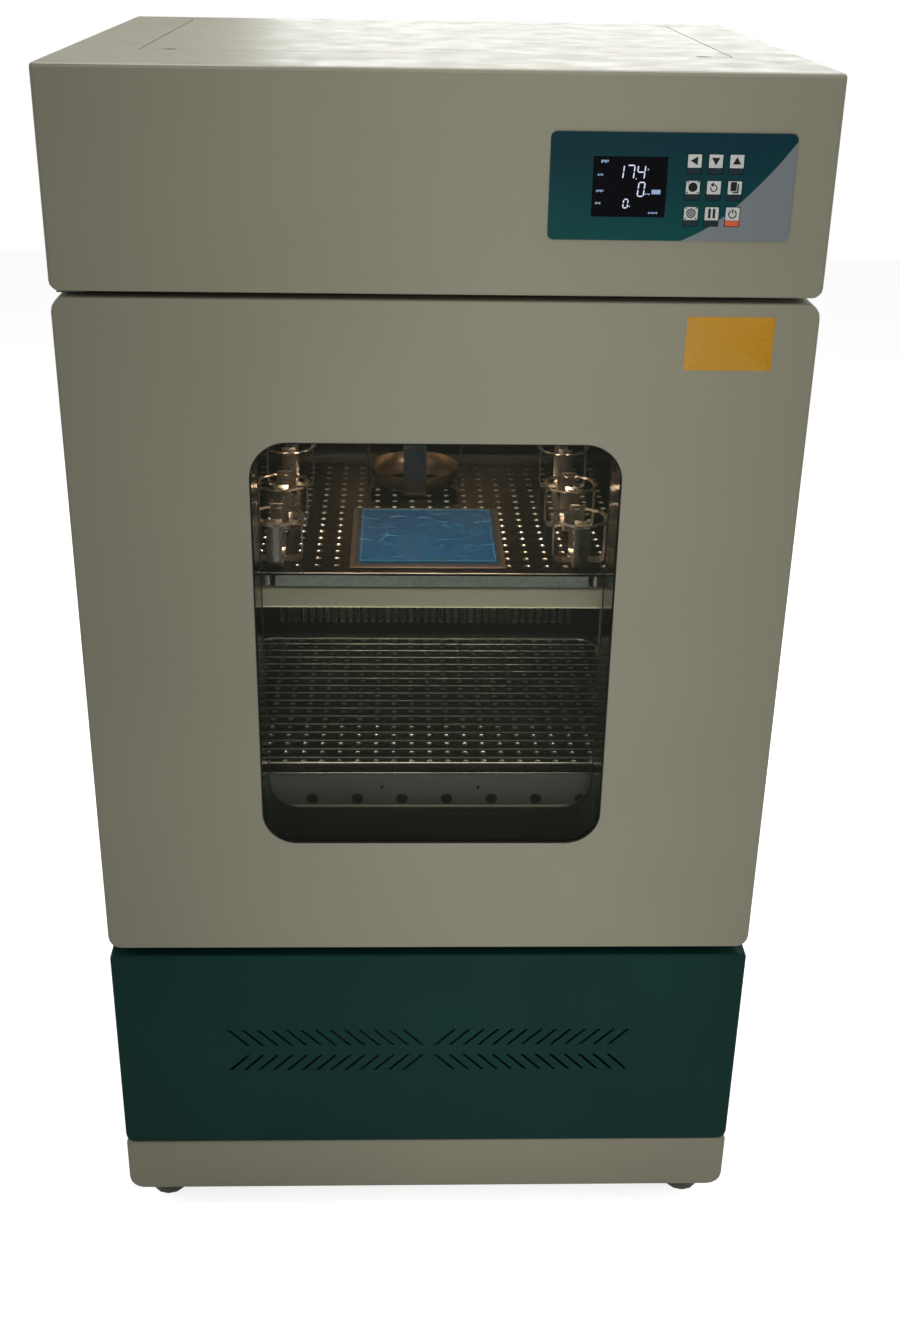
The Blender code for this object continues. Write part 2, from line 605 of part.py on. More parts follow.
def build_cabinet():
    """Plinth, deck with its feet, side and back panels, header cover and top hatch."""
    front_loop = rounded(-HALF, FLOOR_GAP, HALF, PLINTH_TOP - SEAT, PLINTH_RADIUS, SHEET)
    plinth = piece("plinth", rounded_front(upright([front_loop], FACE, BACK), FACE, OVERLAP), "body_paint")
    inside = HALF - PLINTH_SIDE
    cut(plinth, box((-inside, FACE + OVERLAP, 0.0), (inside, BACK - OVERLAP, PLINTH_TOP + OVERRUN)))

    deck_low = (-inside + SEAT, FACE + OVERLAP + SEAT, DECK_TOP - DECK)
    deck_high = (inside - SEAT, BACK - OVERLAP - SEAT, DECK_TOP)
    deck = piece("base_deck", box(deck_low, deck_high), "zinc_steel")
    for x in (-FOOT_X, FOOT_X):
        for y in (-FOOT_Y, FOOT_Y):
            profile = [
                (0.0, DECK_TOP - DECK / 2), (FOOT_ROD_RADIUS, DECK_TOP - DECK / 2),
                (FOOT_ROD_RADIUS, FOOT_HEIGHT), (FOOT_RADIUS * 0.6, FOOT_HEIGHT),
                (FOOT_RADIUS, FOOT_HEIGHT / 2), (FOOT_RADIUS, 0.0), (0.0, 0.0),
            ]
            fuse(deck, turned(profile, Matrix.Translation((x, y, 0.0)), 12))

    for side, name in ((-1, "side_panel_left"), (1, "side_panel_right")):
        outline = [
            (HALF, FRAME_FRONT), (HALF, PANEL_BACK - SHEET - SEAT), (HALF - SHEET, PANEL_BACK - SHEET - SEAT),
            (HALF - SHEET, FRAME_FRONT + SHEET), (HALF - PANEL_FLANGE, FRAME_FRONT + SHEET),
            (HALF - PANEL_FLANGE, FRAME_FRONT),
        ]
        mirrored = [(side * x, y) for x, y in outline]
        piece(name, level([mirrored], PLINTH_TOP, HEADER_BOTTOM - SEAT), "body_paint")

    slots = [
        rectangle(-LOUVRE_WIDTH / 2, z, LOUVRE_WIDTH / 2, z + LOUVRE_HEIGHT)
        for z in (LOUVRE_Z + LOUVRE_PITCH * i for i in range(LOUVRE_COUNT))
    ]
    loops = [rectangle(-HALF, PLINTH_TOP, HALF, HEADER_BOTTOM - SEAT)] + slots
    loops.append(circle(GLAND_AT, GLAND_RADIUS * 0.7 + SEAT, 12))
    piece("back_panel", upright(loops, PANEL_BACK - SHEET, PANEL_BACK), "body_paint")

    header_loop = rounded(-HALF, HEADER_BOTTOM, HALF, TOP, HEADER_RADIUS, TOP_EDGE_RADIUS)
    header = piece(
        "header_cover", rounded_front(upright([header_loop], FACE, BACK), FACE, TOP_EDGE_RADIUS), "body_paint"
    )
    roof = TOP - TOP_THICKNESS
    shelf = BODY_FRONT + HEADER_SHELF
    cut(header, box((-HALF + SHEET, FACE + SHEET, HEADER_BOTTOM + SHEET), (HALF - SHEET, shelf + 0.001, roof)))
    cut(header, box((-HALF + SHEET, shelf, HEADER_BOTTOM - OVERRUN), (HALF - SHEET, BACK - SHEET, roof)))
    near, far = FACE + HATCH_FROM_FACE, BACK - HATCH_FROM_BACK
    wide = HALF - HATCH_FROM_SIDE
    cut(header, box((-wide, near, TOP - HATCH_THICKNESS - SEAT), (wide, far, TOP + OVERRUN)))
    ledge = HATCH_LEDGE
    cut(header, box((-wide + ledge, near + ledge, roof - OVERRUN), (wide - ledge, far - ledge, TOP + OVERRUN)))
    wide -= HATCH_SLIT
    outline = [(-wide, far - HATCH_SLIT), (-wide, near + HATCH_SLIT)]
    for x in (-wide + NOTCH_INSET, wide - NOTCH_INSET):
        outline += arc((x, near + HATCH_SLIT), NOTCH_RADIUS, 180, 0, 6)
    outline += [(wide, near + HATCH_SLIT), (wide, far - HATCH_SLIT)]
    piece("top_hatch", level([outline], TOP - HATCH_THICKNESS, TOP), "body_paint")

    cable = Matrix.Translation((GLAND_AT[0], 0.0, GLAND_AT[1])) @ Matrix.Rotation(-math.pi / 2, 4, "X")
    profile = [
        (0.0, BACK), (GLAND_RADIUS * 0.6, BACK), (GLAND_RADIUS, (PANEL_BACK + BACK) / 2),
        (GLAND_RADIUS, PANEL_BACK + SEAT), (GLAND_RADIUS * 0.7, PANEL_BACK + SEAT),
        (GLAND_RADIUS * 0.7, PANEL_BACK - GLAND_RADIUS), (0.0, PANEL_BACK - GLAND_RADIUS),
    ]
    piece("cable_gland", turned(profile, cable, 12), "black_plastic")
    cutout = box(
        (DISPLAY_LEFT - OVERLAP, FACE - OVERRUN, DISPLAY_BOTTOM - CUTOUT_MARGIN),
        (KEY_LEFT + KEY_PITCH_X * KEY_COLUMNS, FACE + OVERRUN, KEY_TOP + OVERLAP),
    )
    cut(header, cutout)


def slot_loops():
    """The 45 degree slots of the skirt, in four groups whose chevrons point to the middle."""
    loops = []
    run = SLOT_SPAN / 2
    half = SLOT_WIDTH / 2 * math.sqrt(2)
    for side in (-1, 1):
        for z, lean in ((SLOT_UPPER_Z, 1), (SLOT_LOWER_Z, -1)):
            for i in range(SLOTS_PER_GROUP):
                x = side * (SLOT_MIDDLE_GAP + SLOT_PITCH * i)
                rise = side * lean
                low, high = (x - run, z - rise * run), (x + run, z + rise * run)
                loops.append([
                    (low[0] - half, low[1]), (low[0] + half, low[1]),
                    (high[0] + half, high[1]), (high[0] - half, high[1]),
                ])
    return loops


def build_skirt():
    """The slotted lower front panel, a folded tray."""
    top = SKIRT_TOP
    outer = rounded(-HALF, PLINTH_TOP, HALF, top, SKIRT_RADIUS, TOP_EDGE_RADIUS)
    tray = upright([outer], FACE, FRAME_FRONT - SEAT)
    skirt = piece("skirt_panel", rounded_front(tray, FACE, OVERLAP), "skirt_paint")
    wall = SKIRT_WALL
    inner = rounded(-HALF + wall, PLINTH_TOP + wall, HALF - wall, top - wall, SKIRT_RADIUS - wall, wall)
    cut(skirt, upright([inner], FACE + wall, FRAME_FRONT + OVERRUN))
    cut(skirt, joined([upright([loop], FACE - OVERRUN, FACE + wall + OVERLAP) for loop in slot_loops()]))


def build_chamber():
    """The foamed body, its stainless liner, the duct panel, and the heat exchanger and fan motor behind it."""
    half = HALF - SHEET - SEAT
    body = piece("insulated_body", box((-half, BODY_FRONT, BODY_BOTTOM), (half, BODY_BACK, BODY_TOP)), "foam_core")
    wide = CHAMBER_HALF
    cut(body, box(
        (-wide - SEAT, BODY_FRONT - OVERRUN, CHAMBER_BOTTOM - SEAT),
        (wide + SEAT, LINER_BACK + SEAT, CHAMBER_TOP + SEAT),
    ))
    bore = DRIVE_SHAFT_RADIUS + HOUSING_WALL + OVERLAP
    cut(body, cylinder(bore, BODY_BOTTOM - OVERRUN, CHAMBER_BOTTOM + OVERRUN, (-ORBIT, RACK_Y)))
    shaft_bore = FAN_SHAFT_RADIUS + OVERLAP
    cut(body, lying_cylinder(shaft_bore, LINER_BACK - OVERRUN, BODY_BACK + OVERRUN, 0.0, FAN_Z, 12))

    shell = box((-wide, BODY_FRONT - SHEET, CHAMBER_BOTTOM), (wide, LINER_BACK, CHAMBER_TOP))
    liner = piece("chamber_liner", shell, "stainless")
    flange = LINER_FLANGE
    fuse(liner, box(
        (-wide - flange, FRAME_FRONT, CHAMBER_BOTTOM - flange),
        (wide + flange, BODY_FRONT - SEAT, CHAMBER_TOP + flange),
    ))
    cut(liner, box(
        (-wide + SHEET, FRAME_FRONT - OVERRUN, CHAMBER_BOTTOM + SHEET),
        (wide - SHEET, LINER_BACK - SHEET, CHAMBER_TOP - SHEET),
    ))
    cut(liner, cylinder(bore, CHAMBER_BOTTOM - OVERRUN, CHAMBER_BOTTOM + OVERRUN, (-ORBIT, RACK_Y)))
    cut(liner, lying_cylinder(shaft_bore, LINER_BACK - OVERRUN, LINER_BACK + OVERRUN, 0.0, FAN_Z, 12))

    inside = wide - SHEET - SEAT
    loops = [rectangle(-inside, CHAMBER_BOTTOM + SHEET + SEAT, inside, CHAMBER_TOP - SHEET - SEAT)]
    first = -DUCT_SLOT_PITCH * (DUCT_SLOTS - 1) / 2
    for i in range(DUCT_SLOTS):
        x = first + DUCT_SLOT_PITCH * i
        loops.append(rectangle(
            x - DUCT_SLOT_WIDTH / 2, DUCT_SLOT_Z, x + DUCT_SLOT_WIDTH / 2, DUCT_SLOT_Z + DUCT_SLOT_HEIGHT
        ))
    loops.append(circle((0.0, FAN_Z), FAN_INTAKE_RADIUS, 20))
    piece("duct_panel", upright(loops, DUCT_FRONT, DUCT_FRONT + SHEET), "stainless")

    width, depth, height = EVAPORATOR_SIZE
    back = LINER_BACK - SHEET - SEAT
    block = finned_block(-width / 2, width / 2, back - depth, back, EVAPORATOR_Z, EVAPORATOR_Z + height)
    piece("evaporator", block, "zinc_steel")
    shell = lying_cylinder(FAN_MOTOR_RADIUS, BODY_BACK + SEAT, PANEL_BACK - SHEET - SEAT, 0.0, FAN_Z, 20)
    piece("fan_motor", shell, "machine_black")


def finned_block(left, right, near, far, low, high):
    """A heat exchanger whose upright fins face the front."""
    pitch = (right - left) / FIN_COUNT
    outline = [(left, far)]
    for i in range(FIN_COUNT):
        x = left + pitch * i
        inner = near + FIN_DEPTH
        outline += [(x, near), (x + pitch / 2, near), (x + pitch / 2, inner), (x + pitch, inner)]
    outline.append((right, far))
    return level([outline], low, high)


def build_fan():
    """The circulation fan and the shaft that carries it from its motor."""
    near, far = DUCT_FRONT + SHEET + FAN_CLEARANCE, LINER_BACK - SHEET - FAN_CLEARANCE
    fan = piece("circulation_fan", lying_cylinder(FAN_HUB_RADIUS, near, far, 0.0, FAN_Z, 16), "black_plastic",
                (0.0, LINER_BACK, FAN_Z))
    fuse(fan, lying_cylinder(FAN_SHAFT_RADIUS, far - OVERLAP, BODY_BACK, 0.0, FAN_Z, 12))
    for i in range(FAN_BLADES):
        middle = (FAN_HUB_RADIUS + FAN_RADIUS) / 2 - 2 * OVERLAP
        blade = centred_box((0.0, 0.0, 0.0), (*FAN_BLADE, FAN_RADIUS - FAN_HUB_RADIUS))
        turn = Matrix.Rotation(2 * math.pi * i / FAN_BLADES, 4, "Y")
        pitch = Matrix.Rotation(math.radians(FAN_BLADE_PITCH), 4, "Z")
        hub = Matrix.Translation((0.0, (near + far) / 2, FAN_Z))
        blade.transform(hub @ turn @ Matrix.Translation((0.0, 0.0, middle)) @ pitch)
        fuse(fan, blade)


def build_door():
    """Door skin, liner, two panes, seal and the pivot brackets."""
    left, right = -WINDOW_WIDTH / 2, WINDOW_WIDTH / 2
    low, high = WINDOW_BOTTOM, WINDOW_TOP
    hinge = (HINGE_X, HINGE_Y, 0.0)
    window = rounded(left, low, right, high, WINDOW_RADIUS, steps=WINDOW_STEPS)
    outer = rounded(-HALF, DOOR_BOTTOM, HALF, DOOR_TOP, DOOR_RADIUS)
    skin_back = FACE + DOOR_SKIN_DEPTH
    shell = rounded_front(upright([outer], FACE, skin_back), FACE, DOOR_EDGE)
    skin = piece("door_skin", shell, "body_paint", hinge)
    cut(skin, upright([window], FACE - OVERRUN, skin_back + OVERRUN))
    land = GLASS_LAND
    rebate = rounded(left - land, low - land, right + land, high + land, WINDOW_RADIUS + land, steps=WINDOW_STEPS)
    cut(skin, upright([rebate], FACE + GLASS_RECESS, skin_back + OVERRUN))
    for z, direction in ((DOOR_TOP, -1), (DOOR_BOTTOM, 1)):
        ends = sorted((z - direction * OVERRUN, z + direction * (HINGE_PIN_LENGTH + OVERLAP)))
        cut(skin, cylinder(HINGE_PIN_RADIUS + RUNNING_GAP, *ends, (HINGE_X, HINGE_Y), 16))
    cut(skin, box(
        (HALF - GRIP_DEPTH, FACE + GRIP_FRONT, GRIP_Z - GRIP_HEIGHT / 2),
        (HALF + OVERRUN, skin_back - GRIP_BACK, GRIP_Z + GRIP_HEIGHT / 2),
    ))

    inset = LINER_INSET
    liner_low, liner_high = skin_back + SEAT, DOOR_BACK
    plate = rounded(-HALF + inset, DOOR_BOTTOM + inset, HALF - inset, DOOR_TOP - inset, DOOR_RADIUS)
    liner = piece("door_liner", upright([plate], liner_low, liner_high), "body_paint", hinge)
    plug = PLUG_MARGIN
    wide = CHAMBER_HALF - plug
    raised = rounded(-wide, CHAMBER_BOTTOM + plug, wide, CHAMBER_TOP - plug, DOOR_RADIUS)
    fuse(liner, upright([raised], liner_high - OVERLAP, DOOR_BACK + PLUG_DEPTH))
    cut(liner, upright([window], liner_low - OVERRUN, DOOR_BACK + PLUG_DEPTH + OVERRUN))
    cut(liner, upright([rebate], DOOR_BACK + PLUG_DEPTH - GLASS - SEAT, DOOR_BACK + PLUG_DEPTH + OVERRUN))

    slim = SEAT
    pane = rounded(
        left - land + slim, low - land + slim, right + land - slim, high + land - slim,
        WINDOW_RADIUS + land, steps=WINDOW_STEPS,
    )
    face = FACE + GLASS_RECESS + SEAT
    piece("outer_glass", upright([pane], face, face + GLASS), "window_glass", hinge)
    back = DOOR_BACK + PLUG_DEPTH
    piece("inner_glass", upright([pane], back - GLASS, back), "window_glass", hinge)

    near, far = DOOR_BACK + SEAT, FRAME_FRONT - SEAT
    wide += SEAT
    low, high = CHAMBER_BOTTOM + plug - SEAT, CHAMBER_TOP - plug + SEAT
    width = SEAL_WIDTH
    ring = [
        rounded(-wide - width, low - width, wide + width, high + width, DOOR_RADIUS + width),
        rounded(-wide, low, wide, high, DOOR_RADIUS),
    ]
    piece("door_gasket", upright(ring, near, far), "seal_rubber", hinge)

    for name, edge, direction in (("hinge_upper", DOOR_TOP, 1), ("hinge_lower", DOOR_BOTTOM, -1)):
        plate_near = edge + direction * HINGE_PLATE_GAP
        plate_far = plate_near + direction * HINGE_PLATE
        low, high = sorted((plate_near, plate_far))
        x_low, x_high = HINGE_X - HINGE_PLATE_REACH, HINGE_X - HINGE_PLATE_REACH + HINGE_PLATE_WIDTH
        arm = box((x_low, HINGE_Y - HINGE_PLATE_REACH, low), (x_high, FRAME_FRONT - SEAT, high))
        bracket = piece(name, arm, "zinc_steel")
        low, high = sorted((plate_far, edge - direction * HINGE_PIN_LENGTH))
        fuse(bracket, cylinder(HINGE_PIN_RADIUS, low, high, (HINGE_X, HINGE_Y), 16))


def build_controls():
    """The overlay, its nine sprung keys, the display and the board behind them."""
    right, top = OVERLAY_LEFT + OVERLAY_WIDTH, OVERLAY_BOTTOM + OVERLAY_HEIGHT
    loops = [rounded(OVERLAY_LEFT, OVERLAY_BOTTOM, right, top, OVERLAY_RADIUS)]
    display = (DISPLAY_LEFT, DISPLAY_BOTTOM, DISPLAY_LEFT + DISPLAY_WIDTH, DISPLAY_BOTTOM + DISPLAY_HEIGHT)
    loops.append(rectangle(display[0] - SEAT, display[1] - SEAT, display[2] + SEAT, display[3] + SEAT))
    keys = []
    for row in range(KEY_ROWS):
        for column in range(KEY_COLUMNS):
            x = KEY_LEFT + KEY_PITCH_X * column
            z = KEY_TOP - KEY_HEIGHT - KEY_PITCH_Z * row
            keys.append((x, z))
            loops.append(rectangle(x - SEAT, z - SEAT, x + KEY_WIDTH + SEAT, z + KEY_HEIGHT + SEAT))
    piece("control_panel", upright(loops, FACE - OVERLAY_PROUD, FACE - SEAT), "overlay_film")
    for number, (x, z) in enumerate(keys, 1):
        low, high = (x, FRONT, z), (x + KEY_WIDTH, FRONT + KEY_DEPTH, z + KEY_HEIGHT)
        middle = (x + KEY_WIDTH / 2, FRONT, z + KEY_HEIGHT / 2)
        piece(f"key_{number}", box(low, high), "key_film", middle)
    near = FACE - OVERLAY_PROUD + SEAT
    far = near + DISPLAY_DEPTH
    piece("display", box((display[0], near, display[1]), (display[2], far, display[3])), "display_glass")
    board = box((OVERLAY_LEFT, far + SEAT, OVERLAY_BOTTOM), (right, far + SEAT + BOARD_THICKNESS, top))
    board = piece("control_board", board, "circuit_board")
    fuse(board, box(
        (OVERLAY_LEFT + BOARD_MARGIN, far + SHEET, OVERLAY_BOTTOM + BOARD_MARGIN),
        (right - 2 * BOARD_MARGIN, far + BOARD_DEPTH, top - BOARD_MARGIN),
    ))


def rack_point(x, y):
    """A place on the rack, given from the platforms' own middle."""
    return x, y + RACK_Y


def build_drive():
    """Bearing bed, driven crank with pulley and counterweight, idler cranks, motor, pulley and belt."""
    axis = (-ORBIT, RACK_Y)
    bed_x, bed_y = PLATFORM_WIDTH / 2 - BED_SIDE_INSET, PLATFORM_DEPTH / 2 - BED_FRONT_INSET
    bed = piece("bearing_bed", box(
        (-bed_x, RACK_Y - bed_y, BED_BOTTOM), (bed_x, RACK_Y + bed_y, BED_TOP)
    ), "cast_alloy")
    fuse(bed, cylinder(DRIVE_SHAFT_RADIUS + HOUSING_WALL, HOUSING_BOTTOM, HOUSING_TOP, axis))
    bores = [cylinder(DRIVE_SHAFT_RADIUS + RUNNING_GAP, HOUSING_BOTTOM - OVERRUN, HOUSING_TOP + OVERRUN, axis)]
    for x, y in IDLERS:
        at = (x - ORBIT, y + RACK_Y)
        fuse(bed, cylinder(IDLER_SHAFT_RADIUS + HOUSING_WALL, BED_BOTTOM + BED_THICKNESS / 2, HOUSING_TOP, at, 16))
        bores.append(cylinder(IDLER_SHAFT_RADIUS + RUNNING_GAP, BED_BOTTOM + SHEET, HOUSING_TOP + OVERRUN, at, 16))
    cut(bed, joined(bores))

    crank = piece("drive_crank", cylinder(DRIVE_SHAFT_RADIUS, PULLEY_BOTTOM, WEB_BOTTOM + OVERLAP, axis),
                  "cast_alloy", (*axis, 0.0))
    web = [(-ORBIT + x, RACK_Y + y) for x, y in
           arc((0, 0), COUNTERWEIGHT_RADIUS, 110, 250, 10) + arc((0, 0), DRIVE_WEB_RADIUS, -80, 80, 10)]
    fuse(crank, level([web], WEB_BOTTOM, WEB_TOP))
    fuse(crank, cylinder(PIN_RADIUS, WEB_TOP - OVERLAP, RACK_PLATE_TOP, (0.0, RACK_Y), 20))
    fuse(crank, cylinder(PULLEY_RADIUS, PULLEY_BOTTOM, PULLEY_TOP, axis, 32))

    for number, (x, y) in enumerate(IDLERS, 1):
        at = (x - ORBIT, y + RACK_Y)
        shaft = cylinder(IDLER_SHAFT_RADIUS, BED_BOTTOM + SHEET + SEAT, WEB_BOTTOM + OVERLAP, at, 20)
        idler = piece(f"idler_crank_{number}", shaft, "cast_alloy", (*at, 0.0))
        fuse(idler, cylinder(IDLER_WEB_RADIUS, WEB_BOTTOM, WEB_TOP, at, 20))
        fuse(idler, cylinder(PIN_RADIUS, WEB_TOP - OVERLAP, RACK_PLATE_TOP, rack_point(x, y), 20))

    motor_at = (MOTOR_X, RACK_Y)
    plate_top = PULLEY_BOTTOM - MOTOR_PLATE_DROP
    shell = cylinder(MOTOR_RADIUS, plate_top - MOTOR_PLATE - MOTOR_HEIGHT, plate_top - OVERLAP, motor_at)
    motor = piece("drive_motor", shell, "machine_black")
    reach = MOTOR_COLUMN_OFFSET + MOTOR_PLATE_MARGIN
    fuse(motor, box(
        (MOTOR_X - reach, RACK_Y - reach, plate_top - MOTOR_PLATE), (MOTOR_X + reach, RACK_Y + reach, plate_top)
    ))
    for dx in (-MOTOR_COLUMN_OFFSET, MOTOR_COLUMN_OFFSET):
        for dy in (-MOTOR_COLUMN_OFFSET, MOTOR_COLUMN_OFFSET):
            at = (MOTOR_X + dx, RACK_Y + dy)
            fuse(motor, cylinder(MOTOR_COLUMN_RADIUS, plate_top - OVERLAP, BODY_BOTTOM - SEAT, at, 10))
    pulley = piece("motor_pulley", cylinder(MOTOR_PULLEY_RADIUS, PULLEY_BOTTOM, PULLEY_TOP, motor_at),
                   "cast_alloy", (*motor_at, 0.0))
    fuse(pulley, cylinder(MOTOR_SHAFT_RADIUS, plate_top + SEAT, PULLEY_BOTTOM + OVERLAP, motor_at, 16))

    middle = (PULLEY_BOTTOM + PULLEY_TOP) / 2
    loops = [belt_loop(axis, motor_at, SEAT + BELT_THICKNESS), belt_loop(axis, motor_at, SEAT)]
    piece("drive_belt", level(loops, middle - BELT_HEIGHT / 2, middle + BELT_HEIGHT / 2), "seal_rubber")


def belt_loop(large, small, offset):
    """The closed run round both pulleys, at an offset outside them."""
    wrap = math.degrees(math.acos((PULLEY_RADIUS - MOTOR_PULLEY_RADIUS) / MOTOR_DISTANCE))
    run = []
    for centre, radius, start, end, steps in (
        (large, PULLEY_RADIUS, wrap, 360 - wrap, 18), (small, MOTOR_PULLEY_RADIUS, -wrap, wrap, 8)
    ):
        outside_facets = (radius + offset) / math.cos(math.radians((end - start) / steps / 2))
        run += arc(centre, outside_facets, start, end, steps)
    return run


def build_rack():
    """The painted tube rack with its hub plate, and the two perforated platforms."""
    reach_x, reach_y = POST_X + TUBE / 2, PLATFORM_DEPTH / 2 - PLATFORM_OVERHANG
    low, high = (-reach_x, RACK_Y - reach_y, RACK_BOTTOM), (reach_x, RACK_Y + reach_y, RACK_PLATE_TOP)
    rack = piece("rack_frame", box(low, high), "body_paint", (0.0, RACK_Y, 0.0))
    for x, y in ((0.0, 0.0), *IDLERS):
        ends = (RACK_BOTTOM - OVERRUN, RACK_PLATE_TOP + OVERRUN)
        cut(rack, cylinder(PIN_RADIUS + RUNNING_GAP, *ends, rack_point(x, y), 20))
    rail_y = reach_y - TUBE / 2
    post_y = PLATFORM_DEPTH / 2 - POST_INSET
    for x in (-POST_X, POST_X):
        for y in (-post_y, post_y):
            middle = (RACK_PLATE_TOP + UPPER_RAIL_TOP) / 2
            size = (TUBE - SHEET, TUBE - SHEET, UPPER_RAIL_TOP - RACK_PLATE_TOP + OVERLAP)
            fuse(rack, centred_box((x, RACK_Y + y, middle - OVERLAP), size))
        size = (TUBE, 2 * reach_y, TUBE)
        fuse(rack, centred_box((x, RACK_Y, UPPER_RAIL_TOP - TUBE / 2), size))
    for y in (-rail_y, rail_y):
        for top in (LOWER_RAIL_TOP, UPPER_RAIL_TOP):
            size = (2 * reach_x - SHEET, TUBE - SHEET, TUBE)
            fuse(rack, centred_box((0.0, RACK_Y + y, top - TUBE / 2), size))
        rail_low = LOWER_RAIL_TOP - TUBE
        for x in (-POST_X, POST_X):
            fuse(rack, box((x - TUBE / 3, RACK_Y + y - TUBE / 3, RACK_PLATE_TOP - OVERLAP),
                           (x + TUBE / 3, RACK_Y + y + TUBE / 3, rail_low + OVERLAP)))
        for x in (-STANDOFF_X, STANDOFF_X):
            top = UPPER_PLATFORM_Z - PLATFORM_SHEET - SEAT
            fuse(rack, cylinder(STANDOFF_RADIUS, UPPER_RAIL_TOP - OVERLAP, top, rack_point(x, y), 12))

    pin = (0.0, RACK_Y, 0.0)
    lower = piece("lower_platform", platform_sheet(LOWER_PLATFORM_Z), "stainless", pin)
    half = APRON_HOLE_PITCH * (APRON_HOLES - 1) / 2
    top, near = LOWER_PLATFORM_Z - PLATFORM_SHEET / 3, RACK_FRONT + SEAT
    wide = PLATFORM_WIDTH / 2 - SEAT
    fuse(lower, box((-wide, near, top - APRON_HEIGHT), (wide, near + SHEET, top)))
    cut(lower, platform_holes(LOWER_PLATFORM_Z))
    cut(lower, joined([
        lying_cylinder(
            APRON_HOLE_RADIUS, near - OVERLAP, near + SHEET + OVERLAP,
            -half + APRON_HOLE_PITCH * i, top - APRON_HEIGHT * APRON_HOLE_DROP, 8,
        )
        for i in range(APRON_HOLES)
    ]))

    upper = piece("upper_platform", platform_sheet(UPPER_PLATFORM_Z), "stainless", pin)
    for x, y in SMALL_CLAMPS:
        for mesh in clamp_meshes(x, y, CLAMP_RADIUS, CLAMP_HEIGHT, UPPER_PLATFORM_Z - SEAT):
            fuse(upper, mesh)
    wide = STANDOFF_X - LIP_FROM_STANDOFF
    fuse(upper, box(
        (-wide, RACK_FRONT + SEAT, UPPER_RAIL_TOP + SEAT),
        (wide, RACK_FRONT + SEAT + SHEET, UPPER_PLATFORM_Z - PLATFORM_SHEET / 3),
    ))
    cut(upper, platform_holes(UPPER_PLATFORM_Z))


def platform_sheet(top):
    """A platform's plain sheet."""
    wide, deep = PLATFORM_WIDTH / 2, PLATFORM_DEPTH / 2
    return box((-wide, RACK_Y - deep, top - PLATFORM_SHEET), (wide, RACK_Y + deep, top))


def platform_holes(top):
    """The cutters of a platform's square grid of holes."""
    holes = []
    for column in range(HOLE_COLUMNS):
        for row in range(HOLE_ROWS):
            x = HOLE_PITCH_X * (column - (HOLE_COLUMNS - 1) / 2)
            y = HOLE_PITCH_Y * (row - (HOLE_ROWS - 1) / 2)
            at = rack_point(x, y)
            holes.append(cylinder(HOLE_RADIUS, top - PLATFORM_SHEET - OVERLAP, top + SEAT, at, HOLE_SIDES))
    return joined(holes)


def clamp_meshes(x, y, radius, height, base):
    """A flask clamp: crossed foot straps, four upright straps and the spring ring they hold."""
    foot, strap_half = STRAP_THICKNESS, CLAMP_STRAP / 2 - SHEET
    meshes = [
        box((x - radius, y - CLAMP_STRAP / 2, base), (x + radius, y + CLAMP_STRAP / 2, base + foot)),
        box((x - CLAMP_STRAP / 2, y - radius, base), (x + CLAMP_STRAP / 2, y + radius, base + foot)),
    ]
    for turn in range(4):
        strap = box(
            (radius - foot, -strap_half, base + SEAT), (radius - SEAT, strap_half, base + height)
        )
        strap.transform(Matrix.Translation((x, y, 0.0)) @ Matrix.Rotation(turn * math.pi / 2, 4, "Z"))
        meshes.append(strap)
    outer, inner = circle((x, y), radius + CLAMP_RING / 4, 8), circle((x, y), radius - CLAMP_RING * 3 / 4, 8)
    top = base + height - CLAMP_RING_DROP
    meshes.append(level([outer, inner], top - CLAMP_RING, top))
    return meshes


def build_load():
    """What stands on the platforms: the spring-wire rack, the large clamp, and the tray with its tacky mat."""
    pin = (0.0, RACK_Y, 0.0)
    z = LOWER_PLATFORM_Z + WIRE_LIFT
    wide, deep = PLATFORM_WIDTH / 2 - WIRE_SIDE_INSET, PLATFORM_DEPTH / 2 - WIRE_END_INSET
    loop = [(x, y + RACK_Y, z) for x, y in rounded(-wide, -deep, wide, deep, WIRE_CORNER, steps=3)]
    wires = piece("spring_rack", rod(loop, WIRE_FRAME_RADIUS, True), "stainless", pin)
    for i in range(WIRE_COUNT):
        y = WIRE_PITCH * (i - (WIRE_COUNT - 1) / 2) + RACK_Y
        wire_z = z + WIRE_RADIUS / 2
        fuse(wires, rod([(-wide, y, wire_z), (wide, y, wire_z)], WIRE_RADIUS))
    for x in (-wide, wide):
        for y in (-deep + WIRE_CORNER, deep - WIRE_CORNER):
            at = (x, y + RACK_Y)
            fuse(wires, cylinder(WIRE_FOOT_RADIUS, LOWER_PLATFORM_Z + SEAT, z, at, 8))

    x, y = LARGE_CLAMP
    meshes = clamp_meshes(x, y, LARGE_CLAMP_RADIUS, LARGE_CLAMP_HEIGHT, UPPER_PLATFORM_Z + SEAT)
    clamp = piece("large_clamp", meshes[0], "stainless", pin)
    for mesh in meshes[1:]:
        fuse(clamp, mesh)

    cx, cy = TRAY_CENTRE
    low = UPPER_PLATFORM_Z + SEAT
    high = low + TRAY_THICKNESS
    wide, deep = TRAY_WIDTH / 2, TRAY_DEPTH / 2
    piece("mat_tray", box((cx - wide, cy - deep, low), (cx + wide, cy + deep, high)), "stainless", pin)
    low = high + SEAT
    wide, deep = MAT_WIDTH / 2, MAT_DEPTH / 2
    mat = box((cx - wide, cy - deep, low), (cx + wide, cy + deep, low + MAT_THICKNESS))
    piece("tacky_mat", mat, "mat_blue", pin)


